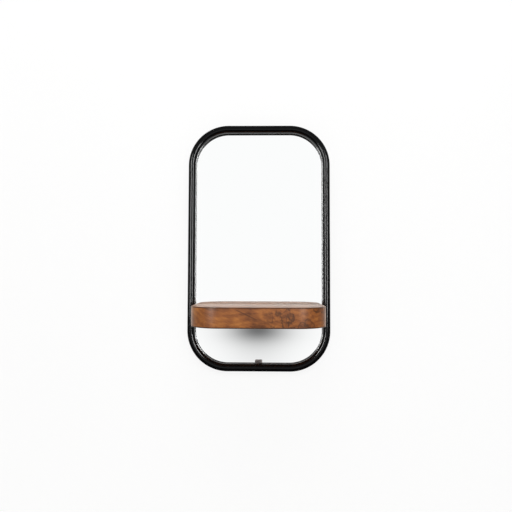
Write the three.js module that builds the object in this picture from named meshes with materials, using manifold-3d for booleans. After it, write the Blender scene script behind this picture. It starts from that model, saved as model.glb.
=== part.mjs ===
// A wall mirror with a shelf.
// One round steel tube is bent into an upright rounded rectangle. A sheet of mirror glass, taped to a
// hardboard back, stands on two ledges behind the lower rail. Turn buttons press it forward on to a
// rubber seal behind the tube. A thick wooden shelf fills the width between the side tubes and stands
// out in front of the glass, on two steel brackets that are welded to the tubes and let into the wood.
// The frame hangs on two wall screws by a plate with keyholes behind its top rail.
//
// Millimetres, +Z up, +Y into the wall. The origin is the middle of the hanging plate's back, on the wall.
// Pieces are modelled about the frame's own centre, in the plane of the tube's centreline.
import * as THREE from 'three';
import { mergeVertices } from 'three/addons/utils/BufferGeometryUtils.js';
import Module from 'manifold-3d';

const wasm = await Module();
wasm.setup();

// ---- Driving dimensions ----

// The gap kept between pieces that touch, and round a shank in its hole
const CLEARANCE = 0.3;

// Steel frame
const FRAME_WIDTH = 300;
const FRAME_HEIGHT = 520;
const TUBE_DIAMETER = 16;
const TUBE_WALL = 1.5;
const BEND_RADIUS = 77; // to the tube's centreline
const VENT_HOLE_DIAMETER = 5;

// Mirror glass, its tape and its back
const GLASS_THICKNESS = 3;
const GLASS_ARRIS = 0.5;
const GLASS_OVERLAP = 2.5; // how far the glass reaches past the tube's inner edge
const TAPE_WIDTH = 20;
const TAPE_THICKNESS = 0.8;
const TAPE_SPACING = 160;
const TAPE_END_MARGIN = 60;
const BOARD_THICKNESS = 3;

// Rubber seal between tube and glass
const SEAL_SET_BACK = 0.4; // from the tube's inner edge, so that the tube hides it

// Ledges that glass and board stand on
const LEDGE_WIDTH = 20;
const LEDGE_THICKNESS = 2;
const LEDGE_SPACING = 90;
const LEDGE_BACK_MARGIN = 1; // past the board's back

// Spring clip on the lower edge of glass and board
const CLIP_SHEET = 0.6;
const CLIP_BEND_RADIUS = 0.4; // inside the bend
const CLIP_WIDTH = 15.5;
const CLIP_RISE = 7.5; // seen above the lower rail
const CLIP_CORNER_RADIUS = 2.5;

// Wooden shelf
const SHELF_DEPTH = 120;
const SHELF_THICKNESS = 40;
const SHELF_TOP_HEIGHT = 140; // above the lowest point of the frame
const SHELF_CORNER_RADIUS = 60;
const SHELF_ARRIS = 1.5;

// Steel brackets under the shelf
const BRACKET_THICKNESS = 4;
const BRACKET_ARM_WIDTH = 20;
const BRACKET_FOOT_LENGTH = 24;
const BRACKET_BACK_MARGIN = 3; // wood behind the foot
const BRACKET_FRONT_MARGIN = 32; // wood in front of the arm's tip
const BRACKET_SIDE_MARGIN = 12; // wood beside the arm's tip
const BRACKET_TIP_RADIUS = 5;
const FLANGE_LENGTH = 12; // the upright that is welded along the tube
const FLANGE_HEIGHT = 30;

// Countersunk wood screws through the brackets
const WOOD_SCREW_DIAMETER = 4;
const WOOD_SCREW_HEAD_DIAMETER = 8;
const WOOD_SCREW_HEAD_HEIGHT = 2.4;
const WOOD_SCREW_POINT = 5;
const WOOD_SCREW_COVER = 14; // wood left above the point
const WOOD_SCREW_END_MARGIN = 12; // from the screw's axis to the arm's tip, and to the foot

// Turn buttons and their screws and bushes
const BUTTON_SPACING = 280;
const BUTTON_WIDTH = 10;
const BUTTON_REACH = 15; // from the pivot to the centre of the round tip
const BUTTON_THICKNESS = 1.5;
const BUSH_DIAMETER = 9;
const PIVOT_SCREW_DIAMETER = 4;
const PIVOT_SCREW_HEAD_DIAMETER = 8;
const PIVOT_SCREW_HEAD_HEIGHT = 2.2;
const PIVOT_SCREW_BITE = 3; // how far the screw stands inside the tube

// Cross recess in every screw head
const RECESS_SPAN = 4;
const RECESS_SLOT = 0.9;
const RECESS_DEPTH = 1.3;

// Hanging plate
const PLATE_WIDTH = 100;
const PLATE_HEIGHT = 34;
const PLATE_THICKNESS = 2;
const PLATE_BELOW_RAIL_TOP = 0.5;
const PLATE_EAR_TOP_MARGIN = 2; // from the ear's top edge to the plate's top edge
const KEYHOLE_SPACING = 70;
const KEYHOLE_DIAMETER = 10;
const KEYHOLE_SLOT_WIDTH = 5;
const KEYHOLE_LIFT = 13; // from the centre of the round hole to the centre of the slot's end
const WALL_CLEARANCE = 3; // between the screw heads and the wall

// Rubber wall buffers
const BUFFER_DIAMETER = 16;
const BUFFER_TIP_DIAMETER = 12;
const BUFFER_SIDE_MARGIN = 36.5; // from the buffer's axis to the board's side
const BUFFER_ABOVE_LOWER_RAIL = 54;

// How finely round shapes are divided
const BEND_STEPS = 12;
const TUBE_SIDES = 24;
const BORE_SIDES = 12;
const CORNER_SEGMENTS = 12;
const SMALL_SEGMENTS = 6;
const ROUND_SIDES = 20;

// ---- Places that follow from the dimensions ----

const tubeRadius = TUBE_DIAMETER / 2;
const boreRadius = tubeRadius - TUBE_WALL;
const sideX = FRAME_WIDTH / 2 - tubeRadius; // centreline of a side tube
const railZ = FRAME_HEIGHT / 2 - tubeRadius; // centreline of the top rail
const innerHalfWidth = sideX - tubeRadius;
const innerHalfHeight = railZ - tubeRadius;

// Glass and board share one outline. The glass stands just far enough behind the tube's centreline
// for the spring clip's bend to pass between its lower edge and the round tube.
const packHalfWidth = innerHalfWidth + GLASS_OVERLAP;
const packHalfHeight = innerHalfHeight + GLASS_OVERLAP;
const packCornerRadius = BEND_RADIUS - tubeRadius + GLASS_OVERLAP;
const clipOuterRadius = CLIP_BEND_RADIUS + CLIP_SHEET;
const bendAboveTube = tubeRadius - GLASS_OVERLAP - CLEARANCE + CLIP_BEND_RADIUS;
const bendBehindTube = Math.sqrt((tubeRadius + CLEARANCE + clipOuterRadius) ** 2 - bendAboveTube ** 2);
const glassFront = bendBehindTube + CLEARANCE - CLIP_BEND_RADIUS;
const glassBack = glassFront + GLASS_THICKNESS;
const sealBack = glassFront - CLEARANCE;
const tapeFront = glassBack + CLEARANCE;
const tapeBack = tapeFront + TAPE_THICKNESS;
const boardFront = tapeBack + CLEARANCE;
const boardBack = boardFront + BOARD_THICKNESS;

const buttonFront = boardBack + CLEARANCE;
const buttonBack = buttonFront + BUTTON_THICKNESS;
const pivotHeadFront = buttonBack + CLEARANCE;
const pivotHeadBack = pivotHeadFront + PIVOT_SCREW_HEAD_HEIGHT;
const wallY = pivotHeadBack + WALL_CLEARANCE;

const shelfHalfWidth = innerHalfWidth - CLEARANCE;
const shelfBack = glassFront - CLEARANCE;
const shelfFront = glassFront - SHELF_DEPTH;
const shelfTop = -FRAME_HEIGHT / 2 + SHELF_TOP_HEIGHT;
const shelfBottom = shelfTop - SHELF_THICKNESS;

const plateTop = railZ + tubeRadius - PLATE_BELOW_RAIL_TOP;
const plateCentreZ = plateTop - PLATE_HEIGHT / 2;

// ---- Materials ----

const coatedSteel = new THREE.MeshStandardMaterial({ color: 0x17171a, roughness: 0.45, metalness: 0.3 });
const mirrorGlass = new THREE.MeshStandardMaterial({ color: 0xf2f4f4, roughness: 0.03, metalness: 1 });
const shelfWood = new THREE.MeshStandardMaterial({ color: 0x94633f, roughness: 0.5, metalness: 0 });
const hardboard = new THREE.MeshStandardMaterial({ color: 0x5d4330, roughness: 0.8, metalness: 0 });
const zincSteel = new THREE.MeshStandardMaterial({ color: 0xb4b6b8, roughness: 0.35, metalness: 1 });
const clipSteel = new THREE.MeshStandardMaterial({ color: 0x6e6560, roughness: 0.4, metalness: 0.9 });
const foamTape = new THREE.MeshStandardMaterial({ color: 0xe6e4de, roughness: 0.9, metalness: 0 });
const rubber = new THREE.MeshStandardMaterial({ color: 0x1c1c1c, roughness: 0.7, metalness: 0 });
const nylon = new THREE.MeshStandardMaterial({ color: 0x232323, roughness: 0.55, metalness: 0 });

// ---- Helpers ----

// A closed geometry as a solid that can be joined and cut
function toSolid(geometry) {
  const bare = geometry.clone();
  bare.deleteAttribute('normal');
  bare.deleteAttribute('uv');
  const merged = mergeVertices(bare, 1e-5);
  return new wasm.Manifold(
    new wasm.Mesh({
      numProp: 3,
      vertProperties: new Float32Array(merged.attributes.position.array),
      triVerts: new Uint32Array(merged.index.array),
    }),
  );
}

function toGeometry(solid) {
  const mesh = solid.getMesh();
  const geometry = new THREE.BufferGeometry();
  geometry.setAttribute('position', new THREE.BufferAttribute(new Float32Array(mesh.vertProperties), 3));
  geometry.setIndex(new THREE.BufferAttribute(new Uint32Array(mesh.triVerts), 1));
  geometry.computeVertexNormals();
  return geometry;
}

function cut(geometry, ...tools) {
  return toGeometry(tools.reduce((solid, tool) => solid.subtract(toSolid(tool)), toSolid(geometry)));
}

function join(geometry, ...others) {
  return toGeometry(others.reduce((solid, other) => solid.add(toSolid(other)), toSolid(geometry)));
}

// A flat piece parallel to the wall: its outline is drawn in X and Z
function upright(shape, front, thickness, arris = 0, curveSegments = CORNER_SEGMENTS) {
  const geometry = new THREE.ExtrudeGeometry(shape, {
    depth: thickness - 2 * arris,
    bevelEnabled: arris > 0,
    bevelThickness: arris,
    bevelSize: arris,
    bevelOffset: -arris,
    bevelSegments: 1,
    curveSegments,
  });
  geometry.rotateX(Math.PI / 2);
  return geometry.translate(0, front + thickness - arris, 0);
}

// A flat piece lying level: its outline is drawn in X and Y
function level(shape, bottom, thickness, arris = 0, curveSegments = CORNER_SEGMENTS) {
  const geometry = new THREE.ExtrudeGeometry(shape, {
    depth: thickness - 2 * arris,
    bevelEnabled: arris > 0,
    bevelThickness: arris,
    bevelSize: arris,
    bevelOffset: -arris,
    bevelSegments: 2,
    curveSegments,
  });
  return geometry.translate(0, 0, bottom + arris);
}

// A round piece about the Y axis, from [radius, y] pairs that start and end on the axis or close up
function turned(profile) {
  return new THREE.LatheGeometry(profile.map(([radius, y]) => new THREE.Vector2(radius, y)), ROUND_SIDES);
}

function roundedRectangle(halfWidth, halfHeight, radius) {
  const x = halfWidth - radius;
  const z = halfHeight - radius;
  const shape = new THREE.Shape();
  shape.absarc(x, z, radius, 0, Math.PI / 2);
  shape.absarc(-x, z, radius, Math.PI / 2, Math.PI);
  shape.absarc(-x, -z, radius, Math.PI, Math.PI * 1.5);
  shape.absarc(x, -z, radius, Math.PI * 1.5, Math.PI * 2);
  return shape;
}

// The cross that a screwdriver turns, sunk into a head whose top is at y = 0 and faces +Y
function crossRecess() {
  const sunk = RECESS_DEPTH * 2; // half of it stands in the air above the head
  return [
    new THREE.BoxGeometry(RECESS_SPAN, sunk, RECESS_SLOT),
    new THREE.BoxGeometry(RECESS_SLOT, sunk, RECESS_SPAN),
  ];
}

// ---- The steel frame ----

// The tube's centreline as stations: a point and the way out from the frame's centre, at each step
// of the four bends. The straight lengths run from one bend's last station to the next bend's first.
function frameStations() {
  const stations = [];
  for (let corner = 0; corner < 4; corner++) {
    const start = (corner * Math.PI) / 2;
    const centreX = (corner === 0 || corner === 3 ? 1 : -1) * (sideX - BEND_RADIUS);
    const centreZ = (corner < 2 ? 1 : -1) * (railZ - BEND_RADIUS);
    for (let step = 0; step <= BEND_STEPS; step++) {
      const angle = start + (step / BEND_STEPS) * (Math.PI / 2);
      const outward = new THREE.Vector3(Math.cos(angle), 0, Math.sin(angle));
      const point = new THREE.Vector3(centreX, 0, centreZ).addScaledVector(outward, BEND_RADIUS);
      stations.push({ point, outward });
    }
  }
  return stations;
}

// A section swept along the stations and closed on itself. The section's points are [outward, back]
// pairs from the tube's centreline, going round from outward towards back.
function closedSweep(section) {
  const stations = frameStations();
  const back = new THREE.Vector3(0, 1, 0);
  const positions = [];
  const indices = [];
  stations.forEach(({ point, outward }) => {
    section.forEach(([out, behind]) => {
      const vertex = point.clone();
      vertex.addScaledVector(outward, out);
      vertex.addScaledVector(back, behind);
      positions.push(vertex.x, vertex.y, vertex.z);
    });
  });
  const count = section.length;
  const ring = (station, side) => (station % stations.length) * count + (side % count);
  for (let station = 0; station < stations.length; station++) {
    for (let side = 0; side < count; side++) {
      const a = ring(station, side);
      const b = ring(station, side + 1);
      const c = ring(station + 1, side);
      const d = ring(station + 1, side + 1);
      indices.push(a, b, c, b, d, c);
    }
  }
  const geometry = new THREE.BufferGeometry();
  geometry.setAttribute('position', new THREE.Float32BufferAttribute(positions, 3));
  geometry.setIndex(indices);
  return geometry;
}

function circle(radius, sides) {
  return Array.from({ length: sides }, (_, side) => {
    const angle = (side / sides) * Math.PI * 2;
    return [radius * Math.cos(angle), radius * Math.sin(angle)];
  });
}

// Where each turn button's screw goes through the back of a side tube
const buttonPlaces = [-1, 1].flatMap((side) =>
  [1, -1].map((end) => ({
    name: `${side < 0 ? 'left' : 'right'}_${end > 0 ? 'top' : 'bottom'}`,
    side,
    x: side * sideX,
    z: (end * BUTTON_SPACING) / 2,
  })),
);

function drill(radius, x, y, z) {
  return new THREE.CylinderGeometry(radius, radius, tubeRadius, ROUND_SIDES).translate(x, y, z);
}

function makeFrameTube() {
  const screwHoles = buttonPlaces.map(({ x, z }) =>
    drill(PIVOT_SCREW_DIAMETER / 2 + CLEARANCE, x, tubeRadius, z),
  );
  const ventHoles = [-1, 1].map((side) =>
    drill(VENT_HOLE_DIAMETER / 2, side * (sideX - BEND_RADIUS), tubeRadius, -railZ),
  );
  const bar = closedSweep(circle(tubeRadius, TUBE_SIDES));
  const bore = closedSweep(circle(boreRadius, BORE_SIDES));
  return cut(bar, bore, ...screwHoles, ...ventHoles);
}

// ---- Glass, tape, board, seal, ledges and clip ----

function makeGlass() {
  const outline = roundedRectangle(packHalfWidth, packHalfHeight, packCornerRadius);
  return upright(outline, glassFront, GLASS_THICKNESS, GLASS_ARRIS);
}

function makeBoard() {
  const outline = roundedRectangle(packHalfWidth, packHalfHeight, packCornerRadius);
  return upright(outline, boardFront, BOARD_THICKNESS);
}

function makeTape() {
  const length = 2 * (packHalfHeight - TAPE_END_MARGIN);
  return new THREE.BoxGeometry(TAPE_WIDTH, TAPE_THICKNESS, length);
}

// A rubber wedge that fills the corner between the tube's round back and the glass, left out where
// the clip comes up in front of the glass
function makeSeal() {
  const inner = -tubeRadius + SEAL_SET_BACK;
  const outer = -tubeRadius + GLASS_OVERLAP;
  const onTube = (out) => [out, Math.sqrt((tubeRadius + CLEARANCE) ** 2 - out ** 2)];
  const section = [onTube(outer), [outer, sealBack], [inner, sealBack], onTube(inner), onTube((inner + outer) / 2)];
  const clipSlot = new THREE.BoxGeometry(CLIP_WIDTH + 2 * CLEARANCE, TUBE_DIAMETER, TUBE_DIAMETER);
  return cut(closedSweep(section), clipSlot.translate(0, sealBack, -innerHalfHeight));
}

// A short strip of steel on the lower rail's back, welded along its front edge. Its top carries the
// lower edges of glass and board.
function makeLedge() {
  const top = -packHalfHeight - CLEARANCE;
  const bottomAboveAxis = Math.max(0, top - LEDGE_THICKNESS + railZ);
  const front = Math.sqrt((tubeRadius + CLEARANCE) ** 2 - bottomAboveAxis ** 2);
  const back = boardBack + LEDGE_BACK_MARGIN;
  const strip = new THREE.BoxGeometry(LEDGE_WIDTH, back - front, LEDGE_THICKNESS);
  return strip.translate(0, (front + back) / 2, top - LEDGE_THICKNESS / 2);
}

// A strip of spring steel folded to a U round the lower edge of glass and board. The U is drawn as seen
// from its end, and the corners of both legs are then rounded off.
function makeClip() {
  const front = glassFront - CLEARANCE;
  const back = boardBack + CLEARANCE;
  const floor = -packHalfHeight - CLEARANCE;
  const tipZ = -innerHalfHeight + CLIP_RISE;
  const bendZ = floor + CLIP_BEND_RADIUS;
  const frontBendY = front + CLIP_BEND_RADIUS;
  const backBendY = back - CLIP_BEND_RADIUS;
  const section = new THREE.Shape();
  section.moveTo(front - CLIP_SHEET, tipZ);
  section.lineTo(front - CLIP_SHEET, bendZ);
  section.absarc(frontBendY, bendZ, clipOuterRadius, Math.PI, Math.PI * 1.5);
  section.absarc(backBendY, bendZ, clipOuterRadius, Math.PI * 1.5, Math.PI * 2);
  section.lineTo(back + CLIP_SHEET, tipZ);
  section.lineTo(back, tipZ);
  section.absarc(backBendY, bendZ, CLIP_BEND_RADIUS, 0, -Math.PI / 2, true);
  section.absarc(frontBendY, bendZ, CLIP_BEND_RADIUS, -Math.PI / 2, -Math.PI, true);
  section.lineTo(front, tipZ);
  const geometry = new THREE.ExtrudeGeometry(section, {
    depth: CLIP_WIDTH,
    bevelEnabled: false,
    curveSegments: 3,
  });
  const drawnInYZ = new THREE.Matrix4().makeBasis(
    new THREE.Vector3(0, 1, 0),
    new THREE.Vector3(0, 0, 1),
    new THREE.Vector3(1, 0, 0),
  );
  const strip = geometry.applyMatrix4(drawnInYZ).translate(-CLIP_WIDTH / 2, 0, 0);
  const legHeight = tipZ - floor + CLIP_SHEET;
  const legOutline = roundedRectangle(CLIP_WIDTH / 2, legHeight, CLIP_CORNER_RADIUS);
  const throughBoth = upright(legOutline, 0, 2 * wallY, 0, SMALL_SEGMENTS).translate(0, 0, tipZ - legHeight);
  return toGeometry(toSolid(strip).intersect(toSolid(throughBoth)));
}

// ---- The shelf, its brackets and their screws ----

// Half the shelf's width at a distance behind its front edge, where the corner is still round
function shelfHalfWidthAt(behindFront) {
  const across = Math.max(0, SHELF_CORNER_RADIUS - behindFront);
  return shelfHalfWidth - SHELF_CORNER_RADIUS + Math.sqrt(SHELF_CORNER_RADIUS ** 2 - across ** 2);
}

const armTip = shelfFront + BRACKET_FRONT_MARGIN;
const armOuterX = shelfHalfWidthAt(BRACKET_FRONT_MARGIN) - BRACKET_SIDE_MARGIN;
const armInnerX = armOuterX - BRACKET_ARM_WIDTH;
const footBack = shelfBack - BRACKET_BACK_MARGIN;
const footFront = footBack - BRACKET_FOOT_LENGTH;
const woodScrewX = (armOuterX + armInnerX) / 2;
const woodScrewY = { front: armTip + WOOD_SCREW_END_MARGIN, back: footFront - WOOD_SCREW_END_MARGIN };
const woodScrewLength = SHELF_THICKNESS - WOOD_SCREW_COVER;

// The bracket seen from above: a foot against the tube and an arm forward, grown all round by a margin
function bracketOutline(side, margin = 0) {
  const inner = armInnerX - margin;
  const outer = armOuterX + margin;
  const tip = armTip - margin;
  const back = footBack + margin;
  const front = footFront - margin;
  const edge = shelfHalfWidth + margin;
  const radius = BRACKET_TIP_RADIUS;
  const shape = new THREE.Shape();
  shape.moveTo(side * edge, back);
  shape.lineTo(side * inner, back);
  if (side > 0) {
    shape.absarc(inner + radius, tip + radius, radius, Math.PI, Math.PI * 1.5);
    shape.absarc(outer - radius, tip + radius, radius, Math.PI * 1.5, Math.PI * 2);
  } else {
    shape.absarc(-inner - radius, tip + radius, radius, 0, -Math.PI / 2, true);
    shape.absarc(-outer + radius, tip + radius, radius, -Math.PI / 2, -Math.PI, true);
  }
  shape.lineTo(side * outer, front);
  shape.lineTo(side * edge, front);
  return shape;
}

// A countersunk wood screw standing on its head, with its head's flat face at y = 0 and its point
// at +Y. Grown by a margin, it is the hole that the screw needs.
function woodScrewProfile(margin = 0) {
  const shank = WOOD_SCREW_DIAMETER / 2 + margin;
  const head = WOOD_SCREW_HEAD_DIAMETER / 2 + margin;
  return [
    [0, -margin],
    [head, -margin],
    [head, margin],
    [shank, WOOD_SCREW_HEAD_HEIGHT + margin],
    [shank, woodScrewLength - WOOD_SCREW_POINT + margin],
    [0, woodScrewLength + margin],
  ];
}

function woodScrewHole(side, y) {
  return turned(woodScrewProfile(CLEARANCE))
    .rotateX(Math.PI / 2)
    .translate(side * woodScrewX, y, shelfBottom);
}

function woodScrewHoles(side) {
  return [woodScrewHole(side, woodScrewY.front), woodScrewHole(side, woodScrewY.back)];
}

// The real screw's head is flat from y = 0: only a hair of straight rim, then the cone
function makeWoodScrew() {
  const rim = 0.2;
  const profile = woodScrewProfile();
  profile[2] = [WOOD_SCREW_HEAD_DIAMETER / 2, rim];
  const recess = crossRecess();
  return cut(turned(profile), ...recess).rotateX(Math.PI / 2);
}

// The bracket's upright, let into the shelf's end and welded along the tube
function bracketFlange(side, margin = 0) {
  const bottom = shelfBottom + BRACKET_THICKNESS / 2;
  const top = shelfBottom + FLANGE_HEIGHT + margin;
  const flange = new THREE.BoxGeometry(
    BRACKET_THICKNESS + 2 * margin,
    FLANGE_LENGTH + 2 * margin,
    top - bottom,
  );
  return flange.translate(
    side * (shelfHalfWidth - BRACKET_THICKNESS / 2),
    footBack - FLANGE_LENGTH / 2,
    (top + bottom) / 2,
  );
}

function makeBracket(side) {
  const plate = level(bracketOutline(side), shelfBottom, BRACKET_THICKNESS, 0, SMALL_SEGMENTS);
  return cut(join(plate, bracketFlange(side)), ...woodScrewHoles(side));
}

function makeShelf() {
  const half = shelfHalfWidth;
  const radius = SHELF_CORNER_RADIUS;
  const outline = new THREE.Shape();
  outline.moveTo(-half, shelfBack);
  outline.lineTo(-half, shelfFront + radius);
  outline.absarc(-half + radius, shelfFront + radius, radius, Math.PI, Math.PI * 1.5);
  outline.absarc(half - radius, shelfFront + radius, radius, Math.PI * 1.5, Math.PI * 2);
  outline.lineTo(half, shelfBack);
  const board = level(outline, shelfBottom, SHELF_THICKNESS, SHELF_ARRIS);
  const recessBottom = shelfBottom - BRACKET_THICKNESS;
  const recessHeight = 2 * BRACKET_THICKNESS + CLEARANCE;
  const recesses = [-1, 1].flatMap((side) => [
    level(bracketOutline(side, CLEARANCE), recessBottom, recessHeight, 0, SMALL_SEGMENTS),
    bracketFlange(side, CLEARANCE),
  ]);
  return cut(board, ...recesses, ...woodScrewHoles(-1), ...woodScrewHoles(1));
}

// ---- Turn buttons ----

// The button points from its pivot towards the middle of the board
function makeButton(side) {
  const end = BUTTON_WIDTH / 2;
  const shape = new THREE.Shape();
  shape.absarc(0, 0, end, Math.PI / 2, Math.PI * 1.5);
  shape.absarc(BUTTON_REACH, 0, end, -Math.PI / 2, Math.PI / 2);
  const hole = new THREE.Path();
  hole.absarc(0, 0, PIVOT_SCREW_DIAMETER / 2 + CLEARANCE, 0, Math.PI * 2, true);
  shape.holes.push(hole);
  const button = upright(shape, buttonFront, BUTTON_THICKNESS, 0, SMALL_SEGMENTS);
  return side > 0 ? button.rotateY(Math.PI) : button;
}

function makeBush() {
  const inner = PIVOT_SCREW_DIAMETER / 2 + CLEARANCE;
  const outer = BUSH_DIAMETER / 2;
  const front = tubeRadius + CLEARANCE;
  const back = buttonFront - CLEARANCE;
  return turned([[inner, front], [outer, front], [outer, back], [inner, back], [inner, front]]);
}

// Pan head to the wall, shank through button, bush and the back of the tube
function makePivotScrew() {
  const shank = PIVOT_SCREW_DIAMETER / 2;
  const head = PIVOT_SCREW_HEAD_DIAMETER / 2;
  const crown = PIVOT_SCREW_HEAD_HEIGHT / 2;
  const screw = turned([
    [0, boreRadius - PIVOT_SCREW_BITE],
    [shank, boreRadius - PIVOT_SCREW_BITE],
    [shank, pivotHeadFront],
    [head, pivotHeadFront],
    [head, pivotHeadBack - crown],
    [head - crown / 2, pivotHeadBack],
    [0, pivotHeadBack],
  ]);
  const recess = crossRecess().map((slot) => slot.translate(0, pivotHeadBack, 0));
  return cut(screw, ...recess);
}

// ---- Hanging plate and wall buffers ----

function keyhole(x) {
  const radius = KEYHOLE_DIAMETER / 2;
  const half = KEYHOLE_SLOT_WIDTH / 2;
  const holeZ = plateCentreZ - KEYHOLE_LIFT / 2;
  const slotZ = plateCentreZ + KEYHOLE_LIFT / 2;
  const opening = Math.acos(half / radius); // where the slot's side leaves the round hole
  const path = new THREE.Path();
  path.absarc(x, holeZ, radius, opening, -Math.PI / 2, true);
  path.absarc(x, holeZ, radius, -Math.PI / 2, Math.PI - opening, true);
  path.absarc(x, slotZ, half, Math.PI, 0, true);
  return path;
}

// A plate flat on the wall behind the top rail, with an ear at each end that is welded to the tube
function makeHangingPlate() {
  const half = PLATE_WIDTH / 2;
  const bottom = plateTop - PLATE_HEIGHT;
  const outline = new THREE.Shape();
  outline.moveTo(-half, bottom);
  outline.lineTo(half, bottom);
  outline.lineTo(half, plateTop);
  outline.lineTo(-half, plateTop);
  outline.holes.push(keyhole(-KEYHOLE_SPACING / 2), keyhole(KEYHOLE_SPACING / 2));
  const plate = upright(outline, wallY - PLATE_THICKNESS, PLATE_THICKNESS, 0, SMALL_SEGMENTS);
  const earFront = tubeRadius + CLEARANCE;
  const earBack = wallY - PLATE_THICKNESS / 2;
  const earTop = plateTop - PLATE_EAR_TOP_MARGIN;
  const earBottom = packHalfHeight + 2 * CLEARANCE;
  const ears = [-1, 1].map((side) =>
    new THREE.BoxGeometry(PLATE_THICKNESS, earBack - earFront, earTop - earBottom).translate(
      side * (half - PLATE_THICKNESS / 2),
      (earFront + earBack) / 2,
      (earTop + earBottom) / 2,
    ),
  );
  return join(plate, ...ears);
}

function makeBuffer() {
  const base = boardBack + CLEARANCE;
  const rounding = (BUFFER_DIAMETER - BUFFER_TIP_DIAMETER) / 2;
  return turned([
    [0, base],
    [BUFFER_DIAMETER / 2, base],
    [BUFFER_DIAMETER / 2, wallY - rounding],
    [BUFFER_TIP_DIAMETER / 2, wallY],
    [0, wallY],
  ]);
}

// ---- Assembly ----

const mirrorWithShelf = new THREE.Group();
const assembly = new THREE.Group();
assembly.position.set(0, -wallY, -plateCentreZ);
mirrorWithShelf.add(assembly);

function place(name, geometry, material, x = 0, y = 0, z = 0) {
  const mesh = new THREE.Mesh(geometry, material);
  mesh.name = name;
  mesh.position.set(x, y, z);
  assembly.add(mesh);
}

place('frame_tube', makeFrameTube(), coatedSteel);
place('hanging_plate', makeHangingPlate(), coatedSteel);
place('mirror_glass', makeGlass(), mirrorGlass);
place('backing_board', makeBoard(), hardboard);
place('mirror_seal', makeSeal(), rubber);
place('mirror_edge_clip', makeClip(), clipSteel);
place('shelf_board', makeShelf(), shelfWood);

for (const side of [-1, 1]) {
  const hand = side < 0 ? 'left' : 'right';
  const tapeY = (tapeFront + tapeBack) / 2;
  place(`mirror_tape_${hand}`, makeTape(), foamTape, (side * TAPE_SPACING) / 2, tapeY);
  place(`mirror_ledge_${hand}`, makeLedge(), coatedSteel, (side * LEDGE_SPACING) / 2);
  place(`shelf_bracket_${hand}`, makeBracket(side), coatedSteel);
  place(`shelf_screw_${hand}_front`, makeWoodScrew(), zincSteel, side * woodScrewX, woodScrewY.front, shelfBottom);
  place(`shelf_screw_${hand}_back`, makeWoodScrew(), zincSteel, side * woodScrewX, woodScrewY.back, shelfBottom);
  const bufferX = packHalfWidth - BUFFER_SIDE_MARGIN;
  const bufferZ = -innerHalfHeight + BUFFER_ABOVE_LOWER_RAIL;
  place(`wall_buffer_${hand}`, makeBuffer(), rubber, side * bufferX, 0, bufferZ);
}

for (const { name, side, x, z } of buttonPlaces) {
  place(`turn_button_${name}`, makeButton(side), zincSteel, x, 0, z);
  place(`button_bush_${name}`, makeBush(), nylon, x, 0, z);
  place(`button_screw_${name}`, makePivotScrew(), zincSteel, x, 0, z);
}

export default mirrorWithShelf;
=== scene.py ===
# %% [markdown]
# # A wall mirror with a shelf
#
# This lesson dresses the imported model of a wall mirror: one bent black tube, mirror glass, and a thick
# wooden shelf that stands out in front of the glass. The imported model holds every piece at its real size.
# Each step below gives one piece or one finish its looks, and says how the real thing is made and why
# the step goes about it the way it does.

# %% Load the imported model
import math

import bpy
from mathutils import Matrix, Vector


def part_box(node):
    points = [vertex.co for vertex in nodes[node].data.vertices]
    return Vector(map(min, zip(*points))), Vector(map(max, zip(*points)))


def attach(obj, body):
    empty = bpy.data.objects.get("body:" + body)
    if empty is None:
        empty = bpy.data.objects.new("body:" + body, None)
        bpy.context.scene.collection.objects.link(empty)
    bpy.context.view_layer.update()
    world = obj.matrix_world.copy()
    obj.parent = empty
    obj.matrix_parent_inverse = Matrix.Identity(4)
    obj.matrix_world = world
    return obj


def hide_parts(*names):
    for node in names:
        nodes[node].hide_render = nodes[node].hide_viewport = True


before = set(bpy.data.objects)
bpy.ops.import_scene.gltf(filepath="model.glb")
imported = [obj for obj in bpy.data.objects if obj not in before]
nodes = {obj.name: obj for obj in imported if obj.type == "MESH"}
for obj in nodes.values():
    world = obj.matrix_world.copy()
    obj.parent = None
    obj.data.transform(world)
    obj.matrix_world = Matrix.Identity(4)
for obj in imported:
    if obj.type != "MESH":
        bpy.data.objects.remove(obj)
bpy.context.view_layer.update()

MM = 0.001
print("pieces in the packed model:", len(nodes))

# %% [markdown]
# ## Measure the model
#
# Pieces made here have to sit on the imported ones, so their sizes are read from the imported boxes. The tube's
# box gives the frame's width and height, and its depth is the tube's diameter. The bend radius, the wall
# and the small fittings' sizes don't show in a box, so they are named here once.

# %% Sizes read from the model, and sizes that a box can't give
tube_low, tube_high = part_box("frame_tube")
shelf_low, shelf_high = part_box("shelf_board")
glass_low, glass_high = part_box("mirror_glass")
tube_radius = (tube_high.y - tube_low.y) / 2
tube_y = (tube_low.y + tube_high.y) / 2
rail_high = tube_high.z - tube_radius
rail_low = tube_low.z + tube_radius
side_x = tube_high.x - tube_radius
centre_z = (tube_low.z + tube_high.z) / 2
wall_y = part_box("hanging_plate")[1].y

BEND_RADIUS = 77 * MM
TUBE_WALL = 1.5 * MM
print("tube diameter mm:", round(tube_radius * 2 / MM, 2))
print("frame mm:", round((tube_high.x - tube_low.x) / MM), "by", round((tube_high.z - tube_low.z) / MM))

# %% [markdown]
# ## Two helpers for materials
#
# Colours are written as the hex values that a screen shows, and the shader wants them linear, so one
# function turns them. A material is a tree of nodes, and one more function adds a node with its settings.
# Each socket is given a value, or another node's output to link from.

# %% Colour and node helpers
def srgb(hex_code):
    """A screen colour such as 'a07048' as the linear colour that a shader works in."""
    parts = [int(hex_code[start:start + 2], 16) / 255 for start in (0, 2, 4)]
    linear = [c / 12.92 if c <= 0.04045 else ((c + 0.055) / 1.055) ** 2.4 for c in parts]
    return (*linear, 1.0)


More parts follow.
